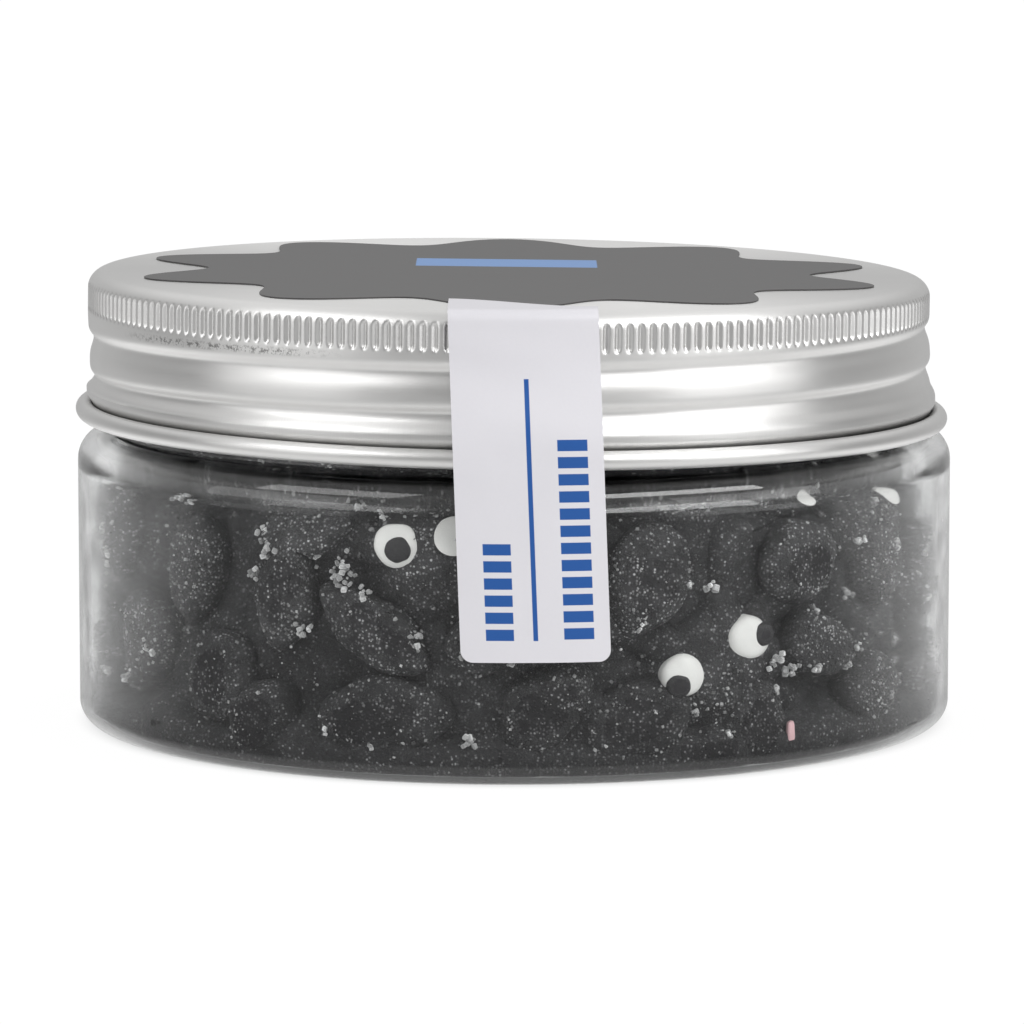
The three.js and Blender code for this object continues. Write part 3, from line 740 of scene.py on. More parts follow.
def thread_depth(azimuth, height):
    """How deep the rolled thread is at places on the skirt."""
    deepest = np.zeros(np.broadcast(azimuth, height).shape)
    for turn in range(-1, math.ceil(THREAD_TURNS) + 1):
        run = (THREAD_START_AZIMUTH - azimuth) / 360 + turn
        ended = smoothstep(THREAD_TURNS, THREAD_TURNS + THREAD_FADE, run)
        formed = smoothstep(-THREAD_FADE, 0, run) * (1 - ended)
        above = height - THREAD_START_HEIGHT + THREAD_PITCH * run
        across = above / np.where(above > 0, THREAD_UPPER_WIDTH, THREAD_LOWER_WIDTH)
        deepest = np.maximum(deepest, THREAD_DEPTH * formed * np.exp(-across * across))
    return deepest


def flute_depth(azimuth, height):
    """How deep a flute with round ends is at places on the grip."""
    pitch = 2 * math.pi * LID_RADIUS / FLUTES
    share = azimuth / 360 * FLUTES
    across = (share - np.round(share)) * pitch
    beyond = np.maximum(0, np.maximum(FLUTE_BOTTOM + FLUTE_END - height, height - FLUTE_TOP + FLUTE_END))
    inside = 1 - np.hypot(across / FLUTE_HALF_WIDTH, beyond / FLUTE_END)
    return FLUTE_DEPTH * smoothstep(0, 0.8, inside)


def azimuths_round(count):
    """Azimuths all round, between -180 and 180, with the front first."""
    return (np.arange(count) * 360 / count + 180) % 360 - 180


def make_lid():
    ceiling = LID_TOP - LID_SHEET
    edge = LID_RADIUS - LID_EDGE_ROUNDING
    edge_height = LID_TOP - LID_EDGE_ROUNDING
    heights = np.linspace(CREVICE_BOTTOM, FLUTE_BOTTOM - 0.1, SKIRT_STEPS)
    flare = SKIRT_FLARE * (1 - smoothstep(SKIRT_BOTTOM, SKIRT_FLARE_TOP, heights))
    crevice = CREVICE_DEPTH * (1 - smoothstep(CREVICE_BOTTOM, SKIRT_BOTTOM - 0.5, heights))
    below = [
        (LID_INNER_RADIUS - LID_SHEET, ceiling),
        (LID_INNER_RADIUS, ceiling - LID_SHEET),
        (LID_INNER_RADIUS, CURL_CENTRE_HEIGHT),
        *arc(CURL_CENTRE_RADIUS, CURL_CENTRE_HEIGHT, CURL_RADIUS, -150, 145, 24),
        *zip(LID_RADIUS + flare - crevice, heights),
    ]
    grip_heights = np.concatenate([
        np.linspace(FLUTE_BOTTOM, FLUTE_BOTTOM + FLUTE_END, 7),
        np.linspace(FLUTE_BOTTOM + FLUTE_END, FLUTE_TOP - FLUTE_END, 4)[1:-1],
        np.linspace(FLUTE_TOP - FLUTE_END, FLUTE_TOP, 8),
    ])
    rise = np.clip((grip_heights - edge_height) / LID_EDGE_ROUNDING, 0, 1)
    grip = zip(edge + LID_EDGE_ROUNDING * np.sqrt(1 - rise * rise), grip_heights)
    start = math.degrees(math.asin((FLUTE_TOP + 0.08 - edge_height) / LID_EDGE_ROUNDING))
    above = [*arc(edge, edge_height, LID_EDGE_ROUNDING, start, 90, 9), (edge - 1.5, LID_TOP)]
    coarse = azimuths_round(FLUTES * COARSE_STEPS_PER_FLUTE)
    fine = azimuths_round(FLUTES * STEPS_PER_FLUTE)
    rings = []
    for radius, height in below:
        on_skirt = height > SKIRT_BOTTOM and radius > LID_RADIUS - 0.5
        rings.append(around(coarse, radius - (thread_depth(coarse, height) if on_skirt else 0), height))
    for radius, height in grip:
        rings.append(around(fine, radius - flute_depth(fine, height) - thread_depth(fine, height), height))
    for radius, height in above:
        rings.append(around(coarse, radius, height))
    points, faces = closed(rings, (0, 0, ceiling), (0, 0, LID_TOP))
    dress("screw_lid", (tilted(points), faces), aluminium(), "lid", "aluminium", sharp_angle=50)


# ---- Labels


def make_lid_label():
    angles = np.arange(ROSETTE_POINTS) * 360 / ROSETTE_POINTS
    radii = ROSETTE_RADIUS + ROSETTE_WAVE * np.cos(np.radians(ROSETTE_LOBES * angles))
    bottom = LID_TOP + LABEL_LIFT
    levels = [(0.0, bottom), (0.0, bottom + PAPER - PAPER_BEVEL), (PAPER_BEVEL, bottom + PAPER)]
    rings = [around(angles, radii - inset, height) for inset, height in levels]
    points, faces = closed(rings, (0, 0, bottom), (0, 0, bottom + PAPER))
    dress("rosette_label", (tilted(points), faces), grey_label(), "lid_label", "grey_label", sharp_angle=30)


def strip_run(head_radius):
    """The strip from its head to its foot, as (distance from the axis, height, how far its sides draw in)."""
    top = LID_TOP + STRIP_LIFT
    edge = LID_RADIUS + STRIP_LIFT
    wall = JAR_RADIUS + LABEL_LIFT
    heights = np.linspace(top - STRIP_BEND - 0.4, STRIP_BOTTOM + STRIP_CORNER + 0.3, 56)
    radii = lerp(wall, edge, smoothstep(STRIP_FREE_BOTTOM, STRIP_FREE_TOP, heights))
    corner = np.radians(np.linspace(0, 90, 10))
    drawn_in = STRIP_CORNER * (1 - np.cos(corner))
    foot = STRIP_BOTTOM + STRIP_CORNER * (1 - np.sin(corner))
    return [
        *((radius, top, 0) for radius in np.linspace(head_radius, edge - STRIP_BEND, 8)[:-1]),
        *((*point, 0) for point in arc(edge - STRIP_BEND, top - STRIP_BEND, STRIP_BEND, 90, 0, 9)),
        *((*point, 0) for point in zip(radii, heights)),
        *((wall, height, inset) for height, inset in zip(foot, drawn_in)),
    ]


def grid_faces(grid, flip):
    quads = np.stack([grid[:-1, :-1], grid[:-1, 1:], grid[1:, 1:], grid[1:, :-1]], axis=-1).reshape(-1, 4)
    return quads[:, ::-1] if flip else quads


def make_strip():
    columns = np.linspace(-0.5, 0.5, STRIP_COLUMNS + 1)
    runs = np.array([strip_run(lerp(*STRIP_HEADS, smoothstep(-0.5, 0.5, column))) for column in columns])
    radius, height, drawn_in = np.moveaxis(runs, 2, 0)
    along = np.gradient(runs[:, :, :2], axis=1)
    along /= np.linalg.norm(along, axis=-1, keepdims=True)
    x = columns[:, None] * (STRIP_WIDTH - 2 * drawn_in) + STRIP_LEAN * (LID_TOP - height) + STRIP_SHIFT
    free = smoothstep(LID_TOP - 1, STRIP_FREE_TOP, height) * smoothstep(28, STRIP_FREE_BOTTOM, height)
    waves = 1 + np.sin(height * 0.9 + x * 0.35) * 0.6 + np.sin(x * 0.8 - height * 0.3) * 0.4
    sides = []
    for lift in (PAPER, 0):
        outer = radius - along[:, :, 1] * (lift + STRIP_WAVINESS * free * waves)
        y = -np.sqrt(outer ** 2 - x * x)
        sides.append(np.stack([x, y, height + along[:, :, 0] * lift], axis=-1))
    front = np.arange(x.size).reshape(x.shape)
    back = front + x.size
    faces = [
        grid_faces(front, False),
        grid_faces(back, True),
        grid_faces(np.stack([front[0], back[0]]), True),
        grid_faces(np.stack([front[-1], back[-1]]), False),
        grid_faces(np.stack([front[:, 0], back[:, 0]]), False),
        grid_faces(np.stack([front[:, -1], back[:, -1]]), True),
    ]
    points = np.array(sides).reshape(-1, 3)
    dress("paper_strip", (points, faces), white_paper(), "seal_strip", "white_paper", sharp_angle=40)


# ---- Sweets


class Draws:
    """The model's own even pseudo-random numbers from 0 to 1."""

    def __init__(self, seed):
        self.state = seed

    def next(self):
        self.state = self.state * 16807 % 2147483647
        return self.state / 2147483647

    def spread(self, most):
        return (self.next() * 2 - 1) * most


def heap_places():
    draws = Draws(HEAP_SEED)

    def drawn(azimuth, height, reach, flat, uneven):
        return Place(
            azimuth=azimuth + draws.spread(uneven["azimuth"]),
            height=height + draws.spread(uneven["height"]),
            reach=reach + draws.spread(uneven["reach"]),
            spin=draws.spread(180),
            nod=draws.spread(uneven["tilt"]),
            roll=draws.spread(uneven["tilt"]),
            face_in=draws.next() < uneven["face_in_share"],
            flat=flat,
        )

    places = list(SHOWN_SWEETS)
    for height, start, end, count in WALL_RINGS:
        for i in range(count):
            azimuth = lerp(start, end, i / (count - 1))
            places.append(drawn(azimuth, height, WALL_REACH, False, WALL_UNEVENNESS))
    for height, reach, count in FLAT_LAYERS:
        for i in range(count):
            places.append(drawn(360 * i / count, height, reach, True, FLAT_UNEVENNESS))
    return places


def room_radius(height):
    """How far out sweets may come at a height."""
    narrowing = smoothstep(*SHOULDER_ROOM, height)
    room = lerp(INNER_RADIUS - SWEETS_GAP, NECK_INNER_RADIUS - SWEETS_GAP, narrowing)
    drop = np.clip((JAR_FLOOR + FOOT_INNER_ROUNDING - height) / FOOT_INNER_ROUNDING, 0, 1)
    return room - FOOT_INNER_ROUNDING * (1 - np.sqrt(1 - drop * drop))


def squeeze(points, gap):
    """Presses points back inside the jar, so that sweets are flat where they meet it."""
    radius = np.hypot(points[:, 0], points[:, 1])
    pushed_up = 1 - smoothstep(FOOT_RING_INNER_RADIUS - BASE_SLOPE, FOOT_RING_INNER_RADIUS, radius)
    floor = JAR_FLOOR + BASE_PUSH_UP * pushed_up + SWEETS_GAP + gap
    z = floor + PRESS_SOFTNESS * np.logaddexp(0, (points[:, 2] - floor) / PRESS_SOFTNESS)
    z = np.minimum(z, SWEETS_TOP)
    room = room_radius(z) - gap
    pressed = room - PRESS_SOFTNESS * np.logaddexp(0, (room - radius) / PRESS_SOFTNESS)
    share = np.where(radius > 1, pressed / np.maximum(radius, 1), 1)
    return np.stack([points[:, 0] * share, points[:, 1] * share, z], axis=-1)


def in_low_layer(place):
    return place.flat and place.height < CORE_TOP / 2


def settle(points, place, gap):
    """Moves a sweet's part to the wall, bent round with it, or to its spot in a flat layer.

    A sweet's own axes turn to those of its place: X to the right, Y up the wall and Z straight out from it.
    """
    turn = rotation(90 + place.spin, 0, 1) @ rotation(-place.nod, 2, 0) @ rotation(place.roll, 1, 2)
    x, y, z = (points @ turn.T).T
    if place.flat:
        outward = -1 if in_low_layer(place) else 1
        centre = around(place.azimuth, place.reach, place.height)
        moved = centre + np.stack([x, outward * y, outward * z], axis=-1)
    else:
        azimuth = place.azimuth + np.degrees(x / WALL_BEND_RADIUS)
        moved = around(azimuth, place.reach + z, place.height + y)
    return squeeze(moved, gap)


def on_wall(points, azimuth, height, depth):
    """Moves points so that Z is straight out from the wall, from a depth behind it, bent round with it."""
    x, y, z = points.T
    return around(azimuth + np.degrees(x / WALL_BEND_RADIUS), INNER_RADIUS - depth + z, height + y)


def make_lobe(azimuth, height, length, width, lean, number):
    """The end of a leg that is pressed flat against the wall."""
    latitudes = np.radians(np.linspace(-90, 90, LOBE_ROWS + 1))[1:-1, None]
    longitudes = np.arange(LOBE_COLUMNS) * 2 * math.pi / LOBE_COLUMNS
    across = np.cos(latitudes) ** 0.8 * np.cos(longitudes) * width / 2
    along = np.cos(latitudes) ** 0.8 * np.sin(longitudes) * length / 2
    out = np.broadcast_to(np.sin(latitudes), across.shape) * LOBE_HALF_THICKNESS
    rings = np.stack([across, along, out], axis=-1)
    points, faces = closed(rings, (0, 0, -LOBE_HALF_THICKNESS), (0, 0, LOBE_HALF_THICKNESS))
    offset = 31.0 * number
    points += 0.3 * warp(points + offset, 6, HEAP_SEED + 11)
    points[:, 2] += 0.12 * lumps(points + offset, 2.2, HEAP_SEED + 14)
    gap = 0 if abs(azimuth) < PRESSED_SIDE else SIDE_GAP
    return squeeze(on_wall(points @ rotation(lean, 0, 1), azimuth, height, LOBE_SUNK), gap), faces


def make_lobes():
    draw = np.random.default_rng(HEAP_SEED * 5)
    lobes = list(SHOWN_LOBES)
    for i in range(RING_LOBES):
        azimuth = 85 + 190 * i / RING_LOBES + draw.uniform(-3, 3)
        others = [draw.uniform(*bounds) for bounds in ((5, 26), (8, 13), (6, 8.5), (-90, 90))]
        lobes.append((azimuth, *others))
    return joined([make_lobe(*lobe, number) for number, lobe in enumerate(lobes)])


def sweet_field(x, y, legs):
    """How far inside a sweet's outline points lie: 1 and more in the middle, and 0 on the outline."""
    fields = [1 - (x * x + y * y) / BODY_RADIUS ** 2]
    for angle, reach, width, _ in legs:
        cos, sin = math.cos(angle), math.sin(angle)
        along = x * cos + y * sin
        across = y * cos - x * sin
        half_width = lerp(LEG_NARROW, LEG_HALF_WIDTH, smoothstep(*LEG_WIDENING, along)) * width
        end = np.maximum(0, along - reach + LEG_ROUND) / LEG_ROUND
        root = np.maximum(0, LEG_WIDENING[0] - along) / 4
        fields.append(1 - (across / half_width) ** 2 - end ** 2 - root ** 2)
    return np.logaddexp.reduce(np.array(fields) * BLEND, axis=0) / BLEND


def sweet_outline(angles, legs):
    """The outline's distance from the middle in each direction."""
    inside = np.full(len(angles), BODY_RADIUS / 2)
    outside = np.full(len(angles), LEG_REACH + 3.0)
    for _ in range(OUTLINE_HALVINGS):
        middle = (inside + outside) / 2
        is_inside = sweet_field(middle * np.cos(angles), middle * np.sin(angles), legs) > 0
        inside = np.where(is_inside, middle, inside)
        outside = np.where(is_inside, outside, middle)
    return inside


def make_sweet(place, number):
    """A sweet's points and faces where it lies. The side that shows is domed and the other is nearly flat."""
    draw = np.random.default_rng(HEAP_SEED + number)
    legs = np.array([(
        math.radians(angle + draw.uniform(-1, 1) * LEG_UNEVENNESS["angle"]),
        LEG_REACH + draw.uniform(-1, 1) * LEG_UNEVENNESS["reach"],
        1 + draw.uniform(-1, 1) * LEG_UNEVENNESS["width"],
        draw.uniform(-0.3, 1) * LEG_UNEVENNESS["lift"],
    ) for angle in LEG_ANGLES])
    swell = BACK_SWELL if place.face_in else 1
    angles = np.arange(OUTLINE_POINTS) * 2 * math.pi / OUTLINE_POINTS
    outline = sweet_outline(angles, legs)
    off_legs = np.abs((angles[:, None] - legs[:, 0] + math.pi) % (2 * math.pi) - math.pi)
    lifts = legs[np.argmin(off_legs, axis=1), 3]

    def ring(share, side):
        radius = outline * share
        x, y = radius * np.cos(angles), radius * np.sin(angles)
        inside = np.clip(sweet_field(x, y, legs), 0, 1)
        thickness = lerp(BODY_HALF_THICKNESS, LEG_HALF_THICKNESS, smoothstep(*BODY_EDGE, radius))
        waist = WAIST_DEPTH * np.exp(-((radius - WAIST_RADIUS) / WAIST_HALF_WIDTH) ** 2)
        depth = (thickness - waist) * swell if side > 0 else UNDERSIDE_DEPTH
        edge = 0 if share == 1 else np.sqrt(inside * (2 - inside))
        z = side * depth * edge + lifts * smoothstep(BODY_RADIUS, LEG_REACH, radius)
        return np.stack([x, y, z], axis=-1)

    top_shares = np.sin(np.linspace(0, math.pi / 2, TOP_RINGS + 1))[1:]
    underside_shares = np.sin(np.linspace(0, math.pi / 2, UNDERSIDE_RINGS + 1))[-2:0:-1]
    rings = [ring(share, 1) for share in top_shares] + [ring(share, -1) for share in underside_shares]
    points, faces = closed(rings, (0, 0, BODY_HALF_THICKNESS * swell), (0, 0, -UNDERSIDE_DEPTH))
    offset = number * 40.0
    points[:, 2] += 0.22 * lumps(points + offset, 4.5, HEAP_SEED)
    points += 0.05 * warp(points + offset, 1.6, HEAP_SEED + 1)
    return settle(points, place, BODY_GAP), faces if in_low_layer(place) else reverse(faces)


def dome(radius, root, shoulder, top, sides):
    """A round mound from a root height, straight to its shoulder and rounded over to its top."""
    profile = [(0, root), (radius, root), (radius * 1.02, lerp(root, shoulder, 0.5))]
    for angle in np.radians(np.linspace(0, 90, 9)):
        profile.append((radius * math.cos(angle), shoulder + (top - shoulder) * math.sin(angle)))
    profile[-1] = (0, top)
    return turned(profile, sides)


def make_eyes(places):
    whites, pupils = [], []
    for number, place in enumerate(places):
        if place.face_in:
            continue
        faces_front = math.cos(math.radians(place.azimuth)) > math.cos(math.radians(SHOWN_SIDE))
        for side in (-1, 1):
            if (number, side) not in GAZES and not place.flat and faces_front:
                continue
            draw = np.random.default_rng(HEAP_SEED * 3 + number * 2 + (side > 0))
            centre = np.array([EYE_AHEAD, side * EYE_APART / 2, 0])
            radius = EYE_RADIUS * draw.uniform(0.95, 1.05)
            white, white_faces = dome(radius, EYE_ROOT, EYE_TOP - 1.5, EYE_TOP, EYE_SIDES)
            white += 0.09 * warp(white, 2.5, number + 7)
            ahead, left = GAZES.get((number, side), (draw.uniform(-0.5, 0.5), draw.uniform(-0.5, 0.5)))
            pupil, pupil_faces = dome(
                PUPIL_RADIUS, EYE_TOP - 1.2, EYE_TOP - 0.35, EYE_TOP + PUPIL_RISE, PUPIL_SIDES)
            pupil += 0.04 * warp(pupil, 1.2, number + 4)
            pupil += (ahead, left, -0.3 * (ahead * ahead + left * left))
            if in_low_layer(place):
                white_faces, pupil_faces = reverse(white_faces), reverse(pupil_faces)
            whites.append((settle(white + centre, place, EYE_GAP), white_faces))
            pupils.append((settle(pupil + centre, place, 0), pupil_faces))
    for azimuth, height, size in STRAY_EYES:
        white, faces = dome(size * EYE_RADIUS, 0, 2, 3.5, EYE_SIDES)
        whites.append((squeeze(on_wall(white, azimuth, height, STRAY_EYE_DEPTH), STRAY_EYE_GAP), faces))
    pupil, faces = dome(PUPIL_RADIUS, 0, 1.5, 3, PUPIL_SIDES)
    pupils.append((squeeze(on_wall(pupil, *STRAY_PUPIL, STRAY_EYE_DEPTH / 2), 2 * STRAY_EYE_GAP), faces))
    dress("candy_eyes", joined(whites), candy("white_icing", (0.86, 0.855, 0.83, 1), 0.38, 0.06))
    dress("candy_pupils", joined(pupils), candy("black_icing", (0.035, 0.034, 0.036, 1), 0.5, 0.9))


def make_core(material):
    """The dark sweets further in, as one lumpy body."""
    wall = INNER_RADIUS - CORE_DEPTH
    neck = NECK_INNER_RADIUS - CORE_DEPTH
    foot = INNER_RADIUS - CORE_FOOT_DEPTH
    heights = np.linspace(CORE_BOTTOM, CORE_TOP - 1, 26)
    radii = lerp(wall, neck, smoothstep(SHOULDER_START - CORE_CHAMFER, SHOULDER_START, heights))
    radii += (foot - wall) * (1 - smoothstep(*CORE_FOOT, heights))
    profile = [
        *((radius, CORE_BOTTOM) for radius in np.linspace(0, foot - 1, 24)),
        *zip(radii, heights),
        *((radius, CORE_TOP) for radius in np.linspace(neck - 1, 0, 14)),
    ]
    points, faces = turned(profile, CORE_SEGMENTS)
    radius = np.hypot(points[:, 0], points[:, 1])
    relief = 0.6 * lumps(points, 9, 51) + 0.4 * lumps(points, 5, 52) - 0.3
    reach = np.linalg.norm(points - (0, 0, CORE_TOP / 2), axis=1, keepdims=True)
    points += points / np.maximum(reach, 1) * relief[:, None] * smoothstep(0, 4, radius)[:, None]
    dress("sweets_core", (squeeze(points, 0), faces), material)


def make_sweets():
    """Makes the heap without its sugar, and gives the surface that carries it."""
    places = heap_places()
    jelly = sugared_jelly()
    made = [make_sweet(place, number) for number, place in enumerate(places)]
    for name, face_in in (("spiders_facing_out", False), ("spiders_facing_in", True)):
        dress(name, joined([part for part, place in zip(made, places) if place.face_in == face_in]), jelly)
    lobes = make_lobes()
    dress("pressed_legs", lobes, jelly)
    make_core(jelly)
    make_eyes(places)
    return joined([*made, lobes])


# ---- Sugar. A block's corners are numbered by their place along X, Y and Z, which count 4, 2 and 1.


CUBE = np.array([(x, y, z) for x in (-1, 1) for y in (-1, 1) for z in (-1, 1)], float) / 2
CUBE_FACES = np.array([(0, 1, 3, 2), (4, 6, 7, 5), (0, 4, 5, 1), (2, 3, 7, 6), (0, 2, 6, 4), (1, 5, 7, 3)])
CORNER_STEPS = (4, 2, 1)


def chamfered(chamfer):
    """A block with its edges and corners cut off. Each corner has a point on the faces across X, Y and Z."""
    points = np.concatenate([CUBE - 2 * CUBE * chamfer * (np.arange(3) != axis) for axis in range(3)])
    others = ((1, 2), (0, 2), (0, 1))
    quads = []
    for axis, (first, second) in enumerate(others):
        right, up = CORNER_STEPS[first], CORNER_STEPS[second]
        for end in (0, CORNER_STEPS[axis]):
            quads.append([8 * axis + end + corner for corner in (0, right, right + up, up)])
    for axis, (first, second) in enumerate(others):
        for start in (0, CORNER_STEPS[first]):
            for low in (start, start + CORNER_STEPS[second]):
                high = low + CORNER_STEPS[axis]
                quads.append([8 * first + low, 8 * second + low, 8 * second + high, 8 * first + high])
    triangles = [[corner, 8 + corner, 16 + corner] for corner in range(8)]

    def outward(group):
        a, b, c = points[group[:3]]
        return group if np.dot(np.cross(b - a, c - a), a) > 0 else group[::-1]

    return points, [np.array([outward(group) for group in groups]) for groups in (quads, triangles)]


CRYSTAL, CRYSTAL_FACES = chamfered(CRYSTAL_CHAMFER)


def random_turns(draw, count):
    """Random rotation matrices."""
    quaternion = draw.normal(size=(count, 4))
    w, x, y, z = (quaternion / np.linalg.norm(quaternion, axis=1, keepdims=True)).T
    rows = [
        [1 - 2 * (y * y + z * z), 2 * (x * y - w * z), 2 * (x * z + w * y)],
        [2 * (x * y + w * z), 1 - 2 * (x * x + z * z), 2 * (y * z - w * x)],
        [2 * (x * z - w * y), 2 * (y * z + w * x), 1 - 2 * (x * x + y * y)],
    ]
    return np.moveaxis(np.array(rows), 2, 0)


def scattered(draw, centres, sizes, corners, faces, stretch, taper=None):
    """Uneven copies of a block at places, turned at random, as one mesh."""
    count = len(centres)
    turns = random_turns(draw, count)
    local = corners * draw.uniform(*stretch, size=(count, 1, 3))
    if taper:
        local *= draw.uniform(*taper, size=(count, len(corners), 1))
    points = np.einsum("nij,nkj->nki", turns, local * sizes[:, None, None]) + centres[:, None, :]
    starts = np.arange(count)[:, None, None] * len(corners)
    return points.reshape(-1, 3), [(group + starts).reshape(-1, group.shape[1]) for group in faces]


def surface_samples(draw, points, faces, count):
    """Places on the sweets' surfaces and the normals there, mostly near the wall and where it is touched."""
    halves = [group if group.shape[1] == 3 else np.concatenate([group[:, :3], group[:, [0, 2, 3]]])
              for group in faces]
    triangles = np.concatenate(halves)
    a, b, c = (points[triangles[:, i]] for i in range(3))
    cross = np.cross(b - a, c - a)
    area = np.linalg.norm(cross, axis=1) / 2
    normal = cross / np.maximum(2 * area[:, None], 1e-9)
    middle = (a + b + c) / 3
    radius = np.hypot(middle[:, 0], middle[:, 1])
    gap = room_radius(middle[:, 2]) - radius
    outward = (middle[:, 0] * normal[:, 0] + middle[:, 1] * normal[:, 1]) / np.maximum(radius, 1)
    visible = np.clip(outward + 0.25, 0, 1) * smoothstep(34, 40, radius)
    flat = smoothstep(0.6, 0.9, np.abs(normal[:, 2])) * (middle[:, 2] < 5)
    clumps = smoothstep(-0.6, 1.2, lumps(middle, 7, 71) + 0.7 * lumps(middle, 2.5, 72))
    contact = np.exp(-((gap - 0.3) / 0.25) ** 2)
    weight = area * (visible * (0.25 + clumps + 2.2 * contact) + 0.3 * flat)
    chosen = draw.choice(len(triangles), size=count, p=weight / weight.sum())
    u, v = draw.uniform(size=(2, count, 1))
    over = u + v > 1
    u, v = np.where(over, 1 - u, u), np.where(over, 1 - v, v)
    return a[chosen] + u * (b[chosen] - a[chosen]) + v * (c[chosen] - a[chosen]), normal[chosen]


def inside_jar(points, clearance):
    """Draws points in so that crystals there stay within the wall."""
    radius = np.hypot(points[:, 0], points[:, 1])
    share = np.minimum(1, (room_radius(points[:, 2]) - clearance) / radius)
    height = np.maximum(points[:, 2], JAR_FLOOR + BASE_PUSH_UP + clearance)
    return np.stack([points[:, 0] * share, points[:, 1] * share, height], axis=-1)


def make_sugar(sweets):
    draw = np.random.default_rng(HEAP_SEED * 7)
    places, normals = surface_samples(draw, *sweets, GRAINS)
    sizes = lerp(*GRAIN_SIZE, draw.uniform(size=GRAINS) ** 2)
    centres = inside_jar(places + normals * sizes[:, None] * 0.15, sizes * 0.4)
    grains = scattered(draw, centres, sizes, CUBE, [CUBE_FACES], (0.7, 1.2), (0.75, 1.1))
    dress("sugar_grains", grains, sugar_crystal("fine_sugar", 0.03, 0.5, 0), smooth=False)

    loose_places, _ = surface_samples(draw, *sweets, LOOSE_CLUSTERS)
    loose = [(place, int(draw.integers(2, 6))) for place in loose_places]
    at_wall = INNER_RADIUS - 0.5
    shown = [(around(azimuth, at_wall, height), count) for azimuth, height, count in SHOWN_CLUSTERS]
    centres, sizes = [], []
    for place, count in [*shown, *loose]:
        count *= CLUSTER_CRYSTALS
        spread = 0.12 * math.sqrt(count)
        centres.append(place + draw.normal(size=(count, 3)) * spread)
        sizes.append(draw.uniform(*CLUSTER_GRAIN_SIZE, size=count))
    sizes = np.concatenate(sizes)
    centres = inside_jar(np.concatenate(centres), sizes * 0.55)
    clusters = scattered(draw, centres, sizes, CRYSTAL, CRYSTAL_FACES, CRYSTAL_STRETCH)
    dress("sugar_clusters", clusters, sugar_crystal("coarse_sugar", 0.42, 1.0, 0.5), smooth=False)

    azimuths = draw.uniform(-180, 180, size=WALL_GRAINS * 4)
    heights = draw.uniform(2.5, 28, size=WALL_GRAINS * 4)
    spots = around(azimuths, JAR_RADIUS, heights)
    clumps = smoothstep(0.1, 1.6, lumps(spots, 9, 81) + 0.6 * lumps(spots, 4, 82))
    spots = spots[draw.uniform(size=len(spots)) < clumps][:WALL_GRAINS]
    sizes = lerp(*WALL_GRAIN_SIZE, draw.uniform(size=len(spots)) ** 3)
    spots = inside_jar(spots, sizes * 0.3)
    dust = scattered(draw, spots, sizes, CRYSTAL, CRYSTAL_FACES, CRYSTAL_STRETCH)
    dress("sugar_on_wall", dust, sugar_crystal("wall_sugar", 0.12, 0.7, 0.5), smooth=False)


def make_chip():
    """A chip of pink candy at the foot of the jar."""
    draw = np.random.default_rng(HEAP_SEED)
    cos, sin = math.cos(math.radians(CHIP_AZIMUTH)), math.sin(math.radians(CHIP_AZIMUTH))
    points = (CRYSTAL * CHIP_SIZE) @ np.array([[cos, sin, 0], [sin, -cos, 0], [0, 0, 1]])
    points += 0.08 * warp(points, 1.1, 91) + around(CHIP_AZIMUTH, INNER_RADIUS - 0.45, CHIP_HEIGHT)
    points += draw.normal(size=3) * 0.01
    pink = candy("pink_candy", (0.8, 0.52, 0.54, 1), 0.45, 0.2)
    dress("pink_chip", (inside_jar(points, 0.02), CRYSTAL_FACES), pink)


# ---- Studio


def make_floor():
    """A wide pale floor, which glows outside the jar's own shade and less in reflections of its front."""
    nodes = new_look("studio_floor")
    place = nodes.place()
    cloud = nodes.noise(place, 400, 1.0)
    path = nodes.add("ShaderNodeLightPath")
    _, y, _ = nodes.parts(place)
    behind = nodes.mapped(y, -30, 10)
    direct = nodes.most(behind, nodes.math("LESS_THAN", path["Glossy Depth"], 0.5))
    dimmed = nodes.scaled(direct, 0.83, 0.17)
    shade = nodes.times(nodes.scaled(cloud, 0.01, 0.5), dimmed)
    diffuse = nodes.add("ShaderNodeBsdfDiffuse", {"Color": nodes.grey(shade)})[0]
    glow = nodes.add("ShaderNodeEmission", {"Color": (1, 1, 1, 1), "Strength": FLOOR_GLOW})[0]
    radius = nodes.add("ShaderNodeVectorMath", [place], operation="LENGTH")["Value"]
    near = nodes.mapped(radius, JAR_RADIUS - 6, JAR_RADIUS + 1, 0.0, 0.97, "SMOOTHSTEP")
    far = nodes.mapped(radius, JAR_RADIUS + 1, 70, 0.0, 0.03, "SMOOTHSTEP")
    # Painted shadow: seen through the jar, the floor close to it glows less.
    close = nodes.mapped(radius, JAR_RADIUS, JAR_RADIUS + 16, 0.6, 0.0)
    through = nodes.math("GREATER_THAN", path["Transmission Depth"], 0.5)
    shaded = nodes.math("SUBTRACT", 1.0, nodes.times(through, close))
    share = nodes.times(nodes.plus(near, far), nodes.times(dimmed, shaded))
    material = nodes.finish(nodes.mixed_shader(share, diffuse, glow))
    material.cycles.emission_sampling = "NONE"
    points = np.array([(-1, -1, 0), (1, -1, 0), (1, 1, 0), (-1, 1, 0)]) * FLOOR_HALF_WIDTH
    floor = make_piece("studio_floor", (points, [np.array([(0, 1, 2, 3)])]), material, smooth=False)
    floor.visible_glossy = False


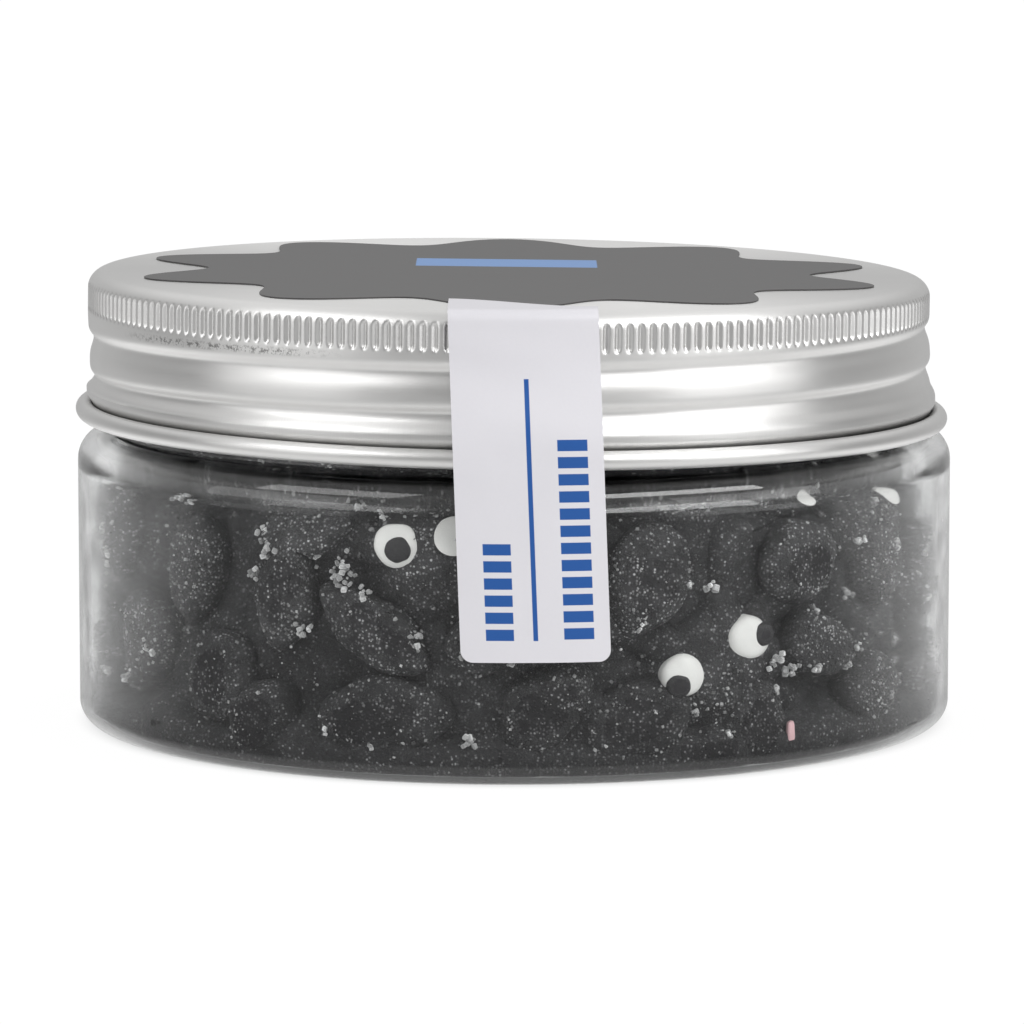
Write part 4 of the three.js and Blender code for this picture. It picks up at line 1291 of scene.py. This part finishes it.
def make_world():
    """Light from all round: bright behind the jar and above, and dim towards the camera."""
    world = bpy.data.worlds.new("studio")
    bpy.context.scene.world = world
    nodes = Nodes(world)
    _, y, z = nodes.parts(nodes.add("ShaderNodeTexCoord")["Generated"])
    behind = nodes.mapped(y, -0.1, 0.9, 0.0, 0.34)
    above = nodes.mapped(z, 0.22, 0.7, 0.0, 0.45, "SMOOTHSTEP")
    below = nodes.mapped(z, -0.16, -0.45, 0.0, 0.7, "SMOOTHSTEP")
    light = nodes.plus(nodes.plus(behind, nodes.most(above, below)), 0.17)
    path = nodes.add("ShaderNodeLightPath")
    through = nodes.times(path["Is Transmission Ray"], nodes.mapped(y, -0.1, 0.3))
    shown = nodes.most(light, nodes.most(path["Is Camera Ray"], through))
    background = nodes.add("ShaderNodeBackground", {"Color": shown, "Strength": 1.0})[0]
    nodes.add("ShaderNodeOutputWorld", {"Surface": background})


def add_softbox(name, place, width, height, brightness):
    """An area light of a brightness, seen in reflections but not by the camera."""
    data = bpy.data.lights.new(name, "AREA")
    data.shape = "RECTANGLE"
    data.size = width
    data.size_y = height
    data.energy = brightness * width * height * math.pi
    light = add_object(name, data)
    light.location = place
    direction = Vector(SOFTBOX_TARGET) - Vector(place)
    light.rotation_euler = direction.to_track_quat("-Z", "Y").to_euler()
    light.visible_camera = False


def make_studio():
    make_floor()
    make_world()
    for softbox in SOFTBOXES:
        add_softbox(*softbox)
    bpy.context.scene.view_settings.view_transform = "Standard"
    cycles = bpy.context.scene.cycles
    cycles.max_bounces = 8
    cycles.diffuse_bounces = 2
    cycles.glossy_bounces = 4
    cycles.transmission_bounces = 8


def make_camera():
    data = bpy.data.cameras.new("camera")
    data.lens = CAMERA_LENS
    data.sensor_width = CAMERA_SENSOR
    data.shift_x, data.shift_y = CAMERA_SHIFT
    camera = add_object("camera", data)
    camera.location = (0, -CAMERA_DISTANCE, CAMERA_HEIGHT)
    camera.rotation_euler = (math.radians(90 - CAMERA_DOWN), 0, 0)
    bpy.context.scene.camera = camera


make_camera()
make_studio()
make_jar()
make_lid()
make_lid_label()
make_strip()
make_sugar(make_sweets())
make_chip()
